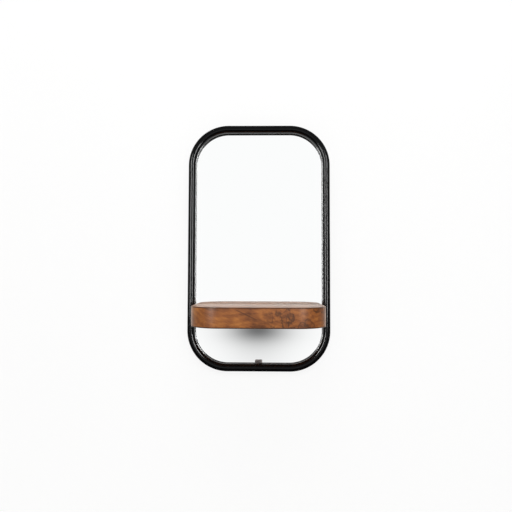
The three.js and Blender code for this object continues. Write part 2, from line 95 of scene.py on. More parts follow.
def fill(tree, node, sockets):
    """Gives a node's input sockets, by name or number, a value or another node's output."""
    for name, value in sockets.items():
        if isinstance(value, bpy.types.NodeSocket):
            tree.links.new(value, node.inputs[name])
        else:
            node.inputs[name].default_value = value


def add(tree, kind, sockets=None, **settings):
    """Adds a node by its type's name without ShaderNode, sets it up and fills its sockets."""
    made = tree.nodes.new("ShaderNode" + kind)
    for name, value in settings.items():
        setattr(made, name, value)
    fill(tree, made, sockets or {})
    return made


def new_material(name):
    """An empty material: its tree, and the shader whose sockets the finish sets."""
    material = bpy.data.materials.new(name)
    material.use_nodes = True
    tree = material.node_tree
    return material, tree, tree.nodes["Principled BSDF"]


print("half grey in linear light:", round(srgb("808080")[0], 4))

# %% [markdown]
# ## Powder-coated steel
#
# The tube, its plate and its brackets are mild steel with a satin black powder coat. The powder melts and
# flows in an oven, and sets with a faint orange peel of bumps a millimetre or so across. To the eye that is
# a deep black with soft-edged highlights that waver a little. Two noises give it: one bumps the surface at
# the peel's own scale, and a broader one lets the gloss wander. The frame is sprayed from the front, so the
# coat on its back is thinner and duller.

# %% Material: satin black powder coat
PEEL_SPACING = 1.6 * MM
GLOSS_PATCH = 35 * MM
PEEL_HEIGHT = 0.05 * MM
BACK_DULLER = 0.32  # added to the roughness behind the tube's middle


def make_powder_coat():
    material, tree, shader = new_material("powder-coated steel, satin black")
    place = add(tree, "TexCoord").outputs["Object"]
    peel = add(tree, "TexNoise", {"Vector": place, "Scale": 1 / PEEL_SPACING, "Detail": 2.0})
    patch = add(tree, "TexNoise", {"Vector": place, "Scale": 1 / GLOSS_PATCH, "Detail": 3.0})
    gloss = add(tree, "MapRange", {"Value": patch.outputs["Fac"], "To Min": 0.10, "To Max": 0.15})
    bump = add(tree, "Bump", {"Height": peel.outputs["Fac"], "Strength": 0.1, "Distance": PEEL_HEIGHT})
    depth = add(tree, "SeparateXYZ", {"Vector": place}).outputs["Y"]
    dull = add(tree, "MapRange", {
        "Value": depth, "From Min": tube_y, "From Max": tube_y + 0.6 * tube_radius,
        "To Min": 0.0, "To Max": BACK_DULLER,
    }, interpolation_type="SMOOTHSTEP").outputs["Result"]
    rough = add(tree, "Math", {0: gloss.outputs["Result"], 1: dull}, operation="ADD")
    fill(tree, shader, {
        "Base Color": srgb("070708"), "Specular IOR Level": 0.4,
        "Roughness": rough.outputs["Value"], "Normal": bump.outputs["Normal"],
    })
    return material


powder_coat = make_powder_coat()
print("made:", powder_coat.name)

# %% [markdown]
# ## Helpers for modelling by hand
#
# Edit mode works on what is selected, and loading a model leaves its pieces selected, so every piece starts
# by clearing the selection. The other helpers pick vertices, edges or faces by where they are, apply a
# modifier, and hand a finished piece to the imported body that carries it.

# %% Modelling helpers
TINY = 0.01 * MM  # places closer than this count as one
DRILL_SIDES = 40


def clear_selection():
    if bpy.context.mode != "OBJECT":
        bpy.ops.object.mode_set(mode="OBJECT")
    bpy.ops.object.select_all(action="DESELECT")


def pick(piece, kind, wanted):
    """In edit mode, selects only the vertices, edges or faces that the test wants, by their corners."""
    kinds = ("vertices", "edges", "polygons")
    bpy.context.tool_settings.mesh_select_mode = [name == kind for name in kinds]
    bpy.ops.object.mode_set(mode="OBJECT")
    mesh = piece.data
    for element in (*mesh.vertices, *mesh.edges, *mesh.polygons):
        element.select = False
    chosen = 0
    for element in getattr(mesh, kind):
        corners = [element.co] if kind == "vertices" else [mesh.vertices[i].co for i in element.vertices]
        if wanted(corners):
            element.select = True
            chosen += 1
    bpy.ops.object.mode_set(mode="EDIT")
    return chosen


def apply_modifier(piece, kind, **settings):
    """Adds one modifier with its settings and applies it."""
    bpy.ops.object.mode_set(mode="OBJECT")
    bpy.context.view_layer.objects.active = piece
    modifier = piece.modifiers.new(kind.title(), kind)
    for name, value in settings.items():
        setattr(modifier, name, value)
    bpy.ops.object.modifier_apply(modifier=modifier.name)


def start_piece(name):
    """The primitive that was just added becomes a named piece, with its place in its mesh."""
    piece = bpy.context.object
    piece.name = name
    piece.data.name = name
    bpy.ops.object.transform_apply(location=True, rotation=True, scale=True)
    return piece


def hand_over(piece, replaced, material, body="mirror", smooth=35):
    """Smooths a piece, gives it its finish, and fixes it to the body that carries it."""
    clear_selection()
    piece.select_set(True)
    bpy.context.view_layer.objects.active = piece
    bpy.ops.object.shade_smooth_by_angle(angle=math.radians(smooth))
    if material is not None:
        piece.data.materials.clear()
        piece.data.materials.append(material)
    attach(piece, body)
    if replaced:
        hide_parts(*replaced)
    print(f"{piece.name}: {len(piece.data.polygons)} faces")


def cut_away(piece, cutters):
    """Cuts solids out of a piece, one at a time, and throws the solids away."""
    for cutter in cutters:
        clear_selection()
        piece.select_set(True)
        apply_modifier(piece, "BOOLEAN", operation="DIFFERENCE", solver="EXACT", object=cutter)
        bpy.data.objects.remove(cutter)


def block(low, high, name="cutter"):
    """A plain box between two corners, to start from or to cut with."""
    clear_selection()
    middle = [(a + b) / 2 for a, b in zip(low, high)]
    bpy.ops.mesh.primitive_cube_add(size=1, location=middle)
    bpy.context.object.scale = [abs(b - a) for a, b in zip(low, high)]
    return start_piece(name)


def drill(place, radius, length):
    """A cylinder along Y round a place."""
    clear_selection()
    bpy.ops.mesh.primitive_cylinder_add(
        vertices=DRILL_SIDES, radius=radius, depth=length, location=place, rotation=(math.pi / 2, 0, 0)
    )
    return start_piece("cutter")


def join_solids(piece, others):
    """Fuses solids that overlap into one."""
    for other in others:
        clear_selection()
        piece.select_set(True)
        apply_modifier(piece, "BOOLEAN", operation="UNION", solver="EXACT", object=other)
        bpy.data.objects.remove(other)


def soften(piece, width, segments=2, angle=40):
    """Breaks every sharp edge by a small width, as tumbling, sanding or a coat of powder does."""
    apply_modifier(piece, "BEVEL", width=width, segments=segments, limit_method="ANGLE",
                   angle_limit=math.radians(angle))


def round_corners(piece, axis, radius, segments, where=lambda end: True, shortest=MM):
    """Bevels the edges that run along an axis (0, 1, 2 for X, Y, Z), where their ends pass a test."""
    pick(piece, "edges", lambda ends: abs(ends[0][axis] - ends[1][axis]) > shortest and where(ends[0]))
    bpy.ops.mesh.bevel(offset=radius, segments=segments, affect="EDGES")


def copy_of(piece, name, move=(0, 0, 0), turn=Matrix.Identity(4)):
    """A copy with a mesh of its own, turned about the origin and then moved."""
    twin = bpy.data.objects.new(name, piece.data.copy())
    bpy.context.scene.collection.objects.link(twin)
    twin.data.name = name
    twin.data.transform(Matrix.Translation(move) @ turn)
    if turn.determinant() < 0:
        twin.data.flip_normals()
    return twin


print("modelling helpers are ready")

# %% [markdown]
# ## The bent tube
#
# A pipe bender feeds a straight tube and draws it round a former, four times, until its two ends meet and
# are welded. The steps here are the same: a ring of points is the tube's end, extrude feeds it, and spin
# draws it round each bend's centre. The ends meet in the middle of the lower rail. Solidify then gives the
# tube its wall, and the vent holes and screw holes on the back are cut with cylinders.

# %% Model: the bent tube
RING_POINTS = 48
BEND_STEPS = 40
VENT_HOLE_RADIUS = 2.5 * MM
SCREW_HOLE_RADIUS = 2.3 * MM
WELD_WIDTH = 3 * MM
WELD_HEIGHT = 0.05 * MM

bend_x = side_x - BEND_RADIUS
bend_high = rail_high - BEND_RADIUS
bend_low = rail_low + BEND_RADIUS


def feed(x, z):
    bpy.ops.mesh.extrude_region_move(TRANSFORM_OT_translate={"value": (x, 0, z)})


def draw_round(x, z):
    """Turns the end of the tube a quarter turn about a bend's centre."""
    bpy.ops.mesh.spin(
        steps=BEND_STEPS, angle=-math.pi / 2, center=(x, tube_y, z), axis=(0, 1, 0)
    )


def swell(change):
    """Makes the open end a little wider or narrower, by so much of its radius."""
    factor = (tube_radius + change) / tube_radius
    bpy.ops.transform.resize(value=(factor, factor, factor))


def make_tube():
    clear_selection()
    bpy.ops.mesh.primitive_circle_add(
        vertices=RING_POINTS, radius=tube_radius, fill_type="NOTHING",
        location=(0, tube_y, rail_low), rotation=(0, math.pi / 2, 0),
    )
    tube = start_piece("bent_tube")
    bpy.ops.object.mode_set(mode="EDIT")
    bpy.ops.mesh.select_all(action="SELECT")
    swell(WELD_HEIGHT)
    feed(-WELD_WIDTH / 2, 0)
    swell(-WELD_HEIGHT)
    feed(WELD_WIDTH / 2 - bend_x, 0)
    draw_round(-bend_x, bend_low)
    feed(0, bend_high - bend_low)
    draw_round(-bend_x, bend_high)
    feed(2 * bend_x, 0)
    draw_round(bend_x, bend_high)
    feed(0, bend_low - bend_high)
    draw_round(bend_x, bend_low)
    feed(WELD_WIDTH / 2 - bend_x, 0)
    feed(-WELD_WIDTH / 2, 0)
    swell(WELD_HEIGHT)
    bpy.ops.mesh.select_all(action="SELECT")
    bpy.ops.mesh.remove_doubles(threshold=TINY)
    bpy.ops.mesh.normals_make_consistent(inside=False)
    return tube


tube = make_tube()
apply_modifier(tube, "SOLIDIFY", thickness=TUBE_WALL, offset=-1.0)
print("tube mesh:", len(tube.data.vertices), "points")

# %% Drill the tube's back
button_names = [f"{side}_{end}" for side in ("left", "right") for end in ("top", "bottom")]
screw_centres = []
for name in button_names:
    low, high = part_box(f"button_screw_{name}")
    screw_centres.append(((low.x + high.x) / 2, (low.z + high.z) / 2))

tube_back = tube_y + tube_radius
drills = [drill((x, tube_back, z), SCREW_HOLE_RADIUS, tube_radius) for x, z in screw_centres]
drills += [drill((side * bend_x, tube_back, rail_low), VENT_HOLE_RADIUS, tube_radius) for side in (-1, 1)]
cut_away(tube, drills)
hand_over(tube, ["frame_tube"], powder_coat)

# %% [markdown]
# ## Mirror glass
#
# A mirror is a sheet of clear float glass with silver on its back and protective paint over that. What the
# eye gets is the silver's reflection, a faint green at the cut edge where it looks into the glass's length,
# and the ground arris round it. A sheet cut to the frame's outline is a box whose four corners are bevelled
# to the bend's radius. Its two big faces are then mirror and paint, and the rest is ground edge.

# %% Materials: silvered glass, ground glass edge, mirror backing paint
GRIND_MARK = 0.8 * MM
ROLLER_MARK = 12 * MM


def drifting_colour(tree, patch, detail, tones):
    """A colour that drifts between two tones, in patches of a real size."""
    place = add(tree, "TexCoord").outputs["Object"]
    noise = add(tree, "TexNoise", {"Vector": place, "Scale": 1 / patch, "Detail": detail})
    return add(tree, "Mix", {0: noise.outputs["Fac"], 6: srgb(tones[0]), 7: srgb(tones[1])},
               data_type="RGBA").outputs[2]


def make_silver():
    """Silver behind clear glass: all the light comes back, a shade cool."""
    material, tree, shader = new_material("silvered float glass")
    fill(tree, shader, {"Base Color": srgb("fbfcfc"), "Metallic": 1.0, "Roughness": 0.0})
    return material


def make_dull(name, patch, detail, tones, roughness):
    """A dull surface whose colour drifts between two tones."""
    material, tree, shader = new_material(name)
    fill(tree, shader, {"Base Color": drifting_colour(tree, patch, detail, tones), "Roughness": roughness})
    return material


# Ground float glass: a frosted grey-green, darker where the grinding is deep
glass_edge = make_dull("ground glass edge", GRIND_MARK, 3.0, ("5d7b6d", "bacdc3"), 0.35)
# Grey mirror-backing paint, rolled on: matt, with a faint unevenness
backing_paint = make_dull("mirror backing paint", ROLLER_MARK, 4.0, ("565b5f", "6f7478"), 0.6)
glass_finishes = [make_silver(), glass_edge, backing_paint]
print("made:", ", ".join(material.name for material in glass_finishes))

# %% Model: the sheet of glass
GLASS_ARRIS = 0.5 * MM
FACES_SQUARELY = 0.99  # how much of a face's normal lies along Y on the two big faces
GLASS_OVERLAP = glass_high.x - (side_x - tube_radius)
pack_corner = BEND_RADIUS - tube_radius + GLASS_OVERLAP


def rounded_sheet(name, low, high, corner, arris):
    """A sheet that stands upright, with four round corners and broken edges."""
    sheet = block(low, high, name)
    round_corners(sheet, 1, corner, 24)
    soften(sheet, arris, angle=60)
    return sheet


glass = rounded_sheet("mirror_sheet", glass_low, glass_high, pack_corner, GLASS_ARRIS)
for material in glass_finishes:
    glass.data.materials.append(material)
for face in glass.data.polygons:
    facing = face.normal.y
    face.material_index = 0 if facing < -FACES_SQUARELY else 2 if facing > FACES_SQUARELY else 1
hand_over(glass, ["mirror_glass"], None, smooth=20)

# %% [markdown]
# ## The wooden shelf
#
# The shelf is one thick board of solid hardwood, planed, with its two front corners sawn round and every
# arris sanded a little soft. Underneath, recesses take the brackets flush. It starts as a box: its two
# front corner edges are bevelled to the big radius, a modifier rounds the arrises, and boxes cut the
# recesses. Cutting comes last, so that the recess edges stay as crisp as a router leaves them.

# %% Model: the shelf board
SHELF_CORNER = 60 * MM
SHELF_ARRIS = 1.5 * MM
ARM_WIDTH = 20 * MM
FOOT_LENGTH = 24 * MM
FLANGE_LENGTH = 12 * MM
STEEL = 4 * MM
FIT = 0.3 * MM


def bracket_room(side):
    """The boxes that a bracket's arm, foot and flange fill in the wood, with room to fit."""
    low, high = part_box("shelf_bracket_left")
    inner, outer, front, back = -high.x, -low.x, low.y, high.y
    below = shelf_low.z - STEEL
    beyond = outer + STEEL
    spans = [
        (inner - FIT, inner + ARM_WIDTH + FIT, front - FIT, back + FIT, shelf_low.z + STEEL + FIT),
        (inner - FIT, beyond, back - FOOT_LENGTH - FIT, back + FIT, shelf_low.z + STEEL + FIT),
        (outer - STEEL - FIT, beyond, back - FLANGE_LENGTH - FIT, back + FIT, high.z + FIT),
    ]
    return [
        block((side * x0, y0, below), (side * x1, y1, top)) for x0, x1, y0, y1, top in spans
    ]


def make_shelf():
    shelf = block(shelf_low, shelf_high, "wooden_shelf")
    round_corners(shelf, 2, SHELF_CORNER, 32, lambda end: end.y < shelf_low.y + MM)
    soften(shelf, SHELF_ARRIS, segments=4)
    cut_away(shelf, bracket_room(-1) + bracket_room(1))
    return shelf


shelf = make_shelf()
print("shelf mesh:", len(shelf.data.vertices), "points")

# %% [markdown]
# ## Oiled hardwood
#
# The board is a warm brown hardwood, planed, sanded and oiled. Its left half is calm: soft blotches, fine
# fibres along the board and slanting ripples. Towards the right end the grain grew wild, so it swirls,
# with dark veins and small checks. All of it is drawn as a solid, in millimetres from the board's
# middle, so that it runs on from face to face. A noise pushes each point about before the figure is read
# there, and pushes harder to the right. A streak of darker wood slants down near the middle. A dark line
# round the board, along the top and bottom arris, is painted shade where the rounded edge turns away from
# the light. The oil film is a thin coat that shines at a low angle, and the fine fibres have a soft sheen.
# Both make the top look pale from the front.

# %% Wood figure: where a point is, in millimetres, and how far the grain pushes it
shelf_middle = (shelf_low + shelf_high) / 2
shelf_half = (shelf_high - shelf_low) / 2 / MM
LEAN = math.radians(25.5)
CALM_PATCH, CALM_PUSH = 60, 16
WILD_PATCH, WILD_PUSH = 26, 24
WILD_FROM, WILD_TO = -5, 45


def pushed_grain(tree, place):
    """The point after both noises have pushed it, and how wild the grain is there, from 0 to 1."""
    along = add(tree, "SeparateXYZ", {"Vector": place}).outputs["X"]
    wild = add(tree, "MapRange", {"Value": along, "From Min": WILD_FROM, "From Max": WILD_TO},
               interpolation_type="SMOOTHSTEP").outputs["Result"]
    pushed = place
    for patch, push, amount in ((CALM_PATCH, CALM_PUSH, 1.0), (WILD_PATCH, WILD_PUSH, wild)):
        noise = add(tree, "TexNoise", {"Vector": place, "Scale": 1 / patch, "Detail": 2.0})
        centred = add(tree, "VectorMath", {0: noise.outputs["Color"], 1: (0.5, 0.5, 0.5)},
                      operation="SUBTRACT").outputs["Vector"]
        reach = add(tree, "Math", {0: amount, 1: push}, operation="MULTIPLY").outputs[0]
        shift = add(tree, "VectorMath", {0: centred, "Scale": reach},
                    operation="SCALE").outputs["Vector"]
        pushed = add(tree, "VectorMath", {0: pushed, 1: shift}, operation="ADD").outputs["Vector"]
    return pushed, wild


print("the board is", [round(2 * half) for half in shelf_half], "mm")

# %% Wood figure: blotches, rings, fibres and ripples as one tone
PITH = (0, 40, -120)
RING_SPACING = 9
FIBRE = (70, 1.3, 1.3)
RIPPLE = (22, 22, 2.6)
BLOTCH = 30


def wood_tone(tree, place, pushed, leaning):
    """How light the wood is, about 0.5 on average: each part of the figure adds its share."""
    from_pith = add(tree, "VectorMath", {0: pushed, 1: PITH}, operation="SUBTRACT").outputs["Vector"]
    across = add(tree, "VectorMath", {0: from_pith, 1: (0.15, 1, 1)},
                 operation="MULTIPLY").outputs["Vector"]
    distance = add(tree, "VectorMath", {0: across}, operation="LENGTH").outputs["Value"]
    turn = add(tree, "Math", {0: distance, 1: 2 * math.pi / RING_SPACING}, operation="MULTIPLY")
    wave = add(tree, "Math", {0: turn.outputs[0]}, operation="SINE")
    ring = add(tree, "MapRange", {"Value": wave.outputs[0], "From Min": -1.0}).outputs["Result"]
    along = add(tree, "SeparateXYZ", {"Vector": place}).outputs["X"]
    redder = add(tree, "MapRange", {
        "Value": along, "From Min": -100.0, "From Max": 120.0, "To Min": 0.54, "To Max": 0.42,
    }).outputs["Result"]
    parts = [(ring, 0.10), (redder, 1.0)]
    for spot, size, detail, share in (
        (pushed, (BLOTCH, BLOTCH, BLOTCH), 3.0, 0.85),
        (pushed, FIBRE, 4.0, 0.32),
        (leaning, RIPPLE, 2.0, 0.24),
    ):
        scaled = add(tree, "Mapping", {"Vector": spot, "Scale": [1 / side for side in size]})
        noise = add(tree, "TexNoise", {"Vector": scaled.outputs["Vector"], "Scale": 1.0,
                                                 "Detail": detail})
        parts.append((noise.outputs["Fac"], share))
    tone = None
    for part, share in parts:
        tone = add(tree, "Math", {
            0: part, 1: share, 2: 0.5 * (1 - sum(s for p, s in parts)) if tone is None else tone,
        }, operation="MULTIPLY_ADD").outputs[0]
    return tone


print("a ring every", RING_SPACING, "mm and a fibre every", FIBRE[1], "mm")

# %% Wood figure: dark veins, a slanting streak and painted shade on the arris
VEIN_PATCH = 30
VEIN_WIDTH = 0.035
STREAK_START = (-46, 17.5)
STREAK_LENGTH = 52
STREAK_WIDTH = 1.5
# How far from the top and bottom faces the painted arris shade reaches, in millimetres
ARRIS_SHADE_LINE = 2.7


def off_by(tree, value, middle):
    """How far a value is from a middle, either way."""
    off = add(tree, "Math", {0: value, 1: middle}, operation="SUBTRACT").outputs[0]
    return add(tree, "Math", {0: off}, operation="ABSOLUTE").outputs[0]


def dark_marks_and_arris_shade(tree, place, pushed, leaning, wild):
    """How much of the dark colour shows: veins where the grain is wild, a streak, and painted shade on the
    arris.
    """
    noise = add(tree, "TexNoise", {"Vector": pushed, "Scale": 1 / VEIN_PATCH, "Detail": 3.0})
    off = off_by(tree, noise.outputs["Fac"], 0.5)
    vein = add(tree, "MapRange", {
        "Value": off, "From Max": VEIN_WIDTH, "To Min": 0.75, "To Max": 0.0,
    }, interpolation_type="SMOOTHSTEP").outputs["Result"]
    vein = add(tree, "Math", {0: vein, 1: wild}, operation="MULTIPLY").outputs[0]

    slant = add(tree, "SeparateXYZ", {"Vector": leaning})
    start_x, start_z = STREAK_START
    u = start_x * math.cos(LEAN) - start_z * math.sin(LEAN)
    v = start_x * math.sin(LEAN) + start_z * math.cos(LEAN)
    off = off_by(tree, slant.outputs["Z"], v)
    streak = add(tree, "MapRange", {
        "Value": off, "From Max": STREAK_WIDTH, "To Min": 0.8, "To Max": 0.0,
    }, interpolation_type="SMOOTHSTEP").outputs["Result"]
    middle = off_by(tree, slant.outputs["X"], u + STREAK_LENGTH / 2)
    ends = add(tree, "MapRange", {
        "Value": middle, "From Min": STREAK_LENGTH * 0.3, "From Max": STREAK_LENGTH / 2,
        "To Min": 1.0, "To Max": 0.0,
    }, interpolation_type="SMOOTHSTEP").outputs["Result"]
    streak = add(tree, "Math", {0: streak, 1: ends}, operation="MULTIPLY").outputs[0]

    # Painted shade: a dark line along the top and bottom arris, where the rounded edge turns away from the
    # light
    level = add(tree, "SeparateXYZ", {"Vector": place}).outputs["Z"]
    level = add(tree, "Math", {0: level}, operation="ABSOLUTE").outputs[0]
    near = add(tree, "MapRange", {
        "Value": level, "From Min": shelf_half.z - ARRIS_SHADE_LINE, "From Max": shelf_half.z - 0.6 * ARRIS_SHADE_LINE,
        "To Min": 0.0, "To Max": 0.9,
    }, interpolation_type="SMOOTHSTEP").outputs["Result"]
    facing = add(tree, "SeparateXYZ", {
        "Vector": add(tree, "NewGeometry").outputs["Normal"]}).outputs["Z"]
    facing = add(tree, "Math", {0: facing}, operation="ABSOLUTE").outputs[0]
    upright = add(tree, "MapRange", {
        "Value": facing, "From Min": 0.75, "From Max": 0.95, "To Min": 1.0, "To Max": 0.0,
    }).outputs["Result"]
    arris = add(tree, "Math", {0: near, 1: upright}, operation="MULTIPLY").outputs[0]

    darkening = add(tree, "Math", {0: vein, 1: streak}, operation="MAXIMUM").outputs[0]
    return add(tree, "Math", {0: darkening, 1: arris}, operation="MAXIMUM").outputs[0]


print("the streak runs", STREAK_LENGTH, "mm at", round(math.degrees(LEAN), 1), "degrees")

# %% Material: oiled hardwood
PORE = (8, 0.8, 0.8)
DARK_TONE, MIDDLE_TONE, LIGHT_TONE = "66350e", "91521e", "b6712e"
# The colour of the veins, the streak and the pores, and of the painted arris shade
MARK_AND_SHADE_TONE = "402106"
OIL_FILM = {"Coat Weight": 0.85, "Coat IOR": 1.3, "Coat Roughness": 0.38}
FIBRE_SHEEN = {"Sheen Weight": 0.75, "Sheen Roughness": 0.35}


def make_hardwood():
    material, tree, shader = new_material("oiled hardwood, lively figure")
    raw = add(tree, "TexCoord").outputs["Object"]
    place = add(tree, "Mapping", {
        "Vector": raw, "Location": -shelf_middle / MM, "Scale": (1 / MM, 1 / MM, 1 / MM),
    }).outputs["Vector"]
    pushed, wild = pushed_grain(tree, place)
    leaning = add(tree, "Mapping", {"Vector": place, "Rotation": (0, -LEAN, 0)}).outputs["Vector"]
    tone = wood_tone(tree, place, pushed, leaning)
    darkening = dark_marks_and_arris_shade(tree, place, pushed, leaning, wild)

    # Tones from a dark red-brown over tan to a light tan, then the marks, the painted arris shade and the pores
    low = add(tree, "MapRange", {"Value": tone, "From Min": 0.28, "From Max": 0.5}).outputs["Result"]
    high = add(tree, "MapRange", {"Value": tone, "From Min": 0.5, "From Max": 0.74}).outputs["Result"]
    wood = add(tree, "Mix", {0: low, 6: srgb(DARK_TONE), 7: srgb(MIDDLE_TONE)}, data_type="RGBA")
    wood = add(tree, "Mix", {0: high, 6: wood.outputs[2], 7: srgb(LIGHT_TONE)}, data_type="RGBA")
    scaled = add(tree, "Mapping", {"Vector": pushed, "Scale": [1 / side for side in PORE]})
    noise = add(tree, "TexNoise", {"Vector": scaled.outputs["Vector"], "Scale": 1.0, "Detail": 1.0})
    pores = add(tree, "MapRange", {
        "Value": noise.outputs["Fac"], "From Min": 0.60, "From Max": 0.72, "To Min": 0.0, "To Max": 0.4,
    }).outputs["Result"]
    dark = add(tree, "Math", {0: darkening, 1: pores}, operation="MAXIMUM").outputs[0]
    wood = add(tree, "Mix", {0: dark, 6: wood.outputs[2], 7: srgb(MARK_AND_SHADE_TONE)}, data_type="RGBA")

    gloss = add(tree, "MapRange", {"Value": tone, "To Min": 0.42, "To Max": 0.54})
    relief = add(tree, "Math", {0: tone, 1: dark}, operation="SUBTRACT")
    bump = add(tree, "Bump", {"Height": relief.outputs[0], "Strength": 0.35, "Distance": 0.1 * MM})
    fill(tree, shader, {
        "Base Color": wood.outputs[2], "Roughness": gloss.outputs["Result"],
        "Normal": bump.outputs["Normal"], "Specular IOR Level": 0.2, "Sheen Tint": srgb("fae8da"),
        **FIBRE_SHEEN, **OIL_FILM,
    })
    return material


hardwood = make_hardwood()
hand_over(shelf, ["shelf_board"], hardwood, smooth=25)

# %% [markdown]
# ## Small metal, rubber and plastic finishes
#
# The fastenings are zinc-plated steel, which is a cool grey with a slightly cloudy gloss. The clip on the
# glass is tempered spring steel, browned by its heat treatment. Rubber is matt and dusty black, nylon is
# smooth and black, and the board behind the glass is pressed wood fibre. They share one recipe: a base
# colour that drifts between two tones, a roughness that drifts with it, and a bump at a real grain size.

# %% Materials: fastenings, clip, rubber, nylon, tape, hardboard
def make_plain_finish(name, tones, gloss, grain, relief, metallic=0.0):
    """A finish that drifts between two tones. Its grain and relief are real sizes in metres."""
    material, tree, shader = new_material(name)
    place = add(tree, "TexCoord").outputs["Object"]
    cloud = add(tree, "TexNoise", {"Vector": place, "Scale": 1 / (12 * grain), "Detail": 4.0})
    fine = add(tree, "TexNoise", {"Vector": place, "Scale": 1 / grain, "Detail": 2.0})
    both = add(tree, "Math", {0: cloud.outputs["Fac"], 1: fine.outputs["Fac"]}, operation="ADD")
    mean = add(tree, "Math", {0: both.outputs["Value"], 1: 0.5}, operation="MULTIPLY")
    drift = add(tree, "MapRange", {
        "Value": mean.outputs["Value"], "From Min": 0.38, "From Max": 0.62,
    }).outputs["Result"]
    colour = add(tree, "Mix", {0: drift, 6: srgb(tones[0]), 7: srgb(tones[1])}, data_type="RGBA")
    rough = add(tree, "MapRange", {"Value": drift, "To Min": gloss[0], "To Max": gloss[1]})
    bump = add(tree, "Bump", {"Height": fine.outputs["Fac"], "Strength": 0.6, "Distance": relief})
    fill(tree, shader, {
        "Metallic": metallic, "Base Color": colour.outputs[2],
        "Roughness": rough.outputs["Result"], "Normal": bump.outputs["Normal"],
    })
    return material


# Zinc: bright but cloudy. Spring steel: brown-grey temper colour, still metallic.
zinc = make_plain_finish("zinc-plated steel, clear passivated", ("9ba1a6", "c6c9ca"), (0.26, 0.42),
                         0.5 * MM, 0.01 * MM, metallic=1.0)
spring_steel = make_plain_finish("tempered spring steel, browned", ("5c5654", "7d7674"), (0.28, 0.45),
                                 0.6 * MM, 0.01 * MM, metallic=1.0)
# Rubber: matt with a moulded skin. Nylon: smooth, with a soft sheen. Foam: open cells, off-white.
rubber = make_plain_finish("moulded rubber", ("161616", "232322"), (0.62, 0.78), 0.4 * MM, 0.02 * MM)
nylon = make_plain_finish("turned black nylon", ("1b1b1c", "28282a"), (0.34, 0.48), 0.3 * MM, 0.01 * MM)
foam = make_plain_finish("closed-cell foam tape", ("d2cfc6", "ebe8e0"), (0.8, 0.95), 0.5 * MM, 0.08 * MM)
# Hardboard: wood fibres pressed flat, brown, with darker flecks and a dull polish from the press plate
hardboard = make_plain_finish("tempered hardboard", ("6f5139", "826247"), (0.48, 0.66), 0.7 * MM, 0.03 * MM)
print("made six small finishes")

# %% [markdown]
# ## Board, tape and seal behind the glass
#
# Hardboard is cut to the same outline as the glass and covers its painted back. Two strips of foam tape
# hold the two together, and a rubber wedge lies between the glass and the tube. The board shows from
# behind, so it is modelled again with round corners. The tape and the seal are out of sight and already
# have the right shape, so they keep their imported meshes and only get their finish.

# %% Model: the board, and finish for tape and seal
BOARD_ARRIS = 0.3 * MM

board = rounded_sheet("hardboard_back", *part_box("backing_board"), pack_corner, BOARD_ARRIS)
hand_over(board, ["backing_board"], hardboard, smooth=20)
for name, finish in (("mirror_tape_left", foam), ("mirror_tape_right", foam), ("mirror_seal", rubber)):
    for slot in nodes[name].material_slots:
        slot.material = finish
    print("finished:", name)

# %% [markdown]
# ## Spring clip on the lower edge
#
# A strip of thin spring steel is folded to a U that grips the glass and the board. By hand one would draw
# its edge and pull it along, and that is what happens here: a line as wide as the strip is extruded down
# the front leg, round two tight bends and up the back leg. Solidify gives it the sheet's thickness, and
# bevelled corners round off the two tips that show.

# %% Model: the spring clip
CLIP_SHEET = 0.6 * MM
CLIP_BEND = 0.7 * MM
CLIP_BEND_STEPS = 5
CLIP_CORNER = 2.5 * MM
CLIP_EDGE = 0.12 * MM


def clip_path(low, high):
    """The middle of the sheet, seen from its end: (y, z) points down, round, across, round and up."""
    half = CLIP_SHEET / 2
    front, back = low.y + half, high.y - half
    floor, tip = low.z + half, high.z
    bends = []
    for centre_y, start in ((front + CLIP_BEND, math.pi), (back - CLIP_BEND, 1.5 * math.pi)):
        for step in range(CLIP_BEND_STEPS + 1):
            angle = start + step / CLIP_BEND_STEPS * math.pi / 2
            y = centre_y + CLIP_BEND * math.cos(angle)
            bends.append((y, floor + CLIP_BEND + CLIP_BEND * math.sin(angle)))
    return [(front, tip), *bends, (back, tip)]


def make_clip():
    low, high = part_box("mirror_edge_clip")
    path = clip_path(low, high)
    clear_selection()
    bpy.ops.mesh.primitive_plane_add(size=high.x - low.x, location=(0, path[0][0], path[0][1]))
    clip = start_piece("spring_clip")
    bpy.context.tool_settings.mesh_select_mode = (True, False, False)
    bpy.ops.object.mode_set(mode="EDIT")
    bpy.ops.mesh.select_all(action="SELECT")
    bpy.ops.transform.resize(value=(1, 0, 1))
    bpy.ops.mesh.remove_doubles(threshold=TINY)
    for (y0, z0), (y1, z1) in zip(path, path[1:]):
        bpy.ops.mesh.extrude_region_move(TRANSFORM_OT_translate={"value": (0, y1 - y0, z1 - z0)})
    bpy.ops.mesh.select_all(action="SELECT")
    bpy.ops.mesh.normals_make_consistent(inside=False)
    apply_modifier(clip, "SOLIDIFY", thickness=CLIP_SHEET, offset=0.0)
    pick(clip, "edges", lambda ends: abs(ends[0].y - ends[1].y) > CLIP_SHEET / 2
         and abs(ends[0].x) > high.x - TINY and min(end.z for end in ends) > high.z - TINY)
    bpy.ops.mesh.bevel(offset=CLIP_CORNER, segments=8, affect="EDGES")
    soften(clip, CLIP_EDGE)
    return clip


hand_over(make_clip(), ["mirror_edge_clip"], spring_steel)

# %% [markdown]
# ## Round fastenings
#
# Screws, bushes and buffers are turned or moulded round, so each is drawn as half a profile and spun about
# its axis. The profile starts as one point, a plane merged to its centre, and is extruded corner by corner.
# Each kind is modelled once at the origin and copied to its places.

# %% Helper: spin a profile
SPIN_STEPS = 40


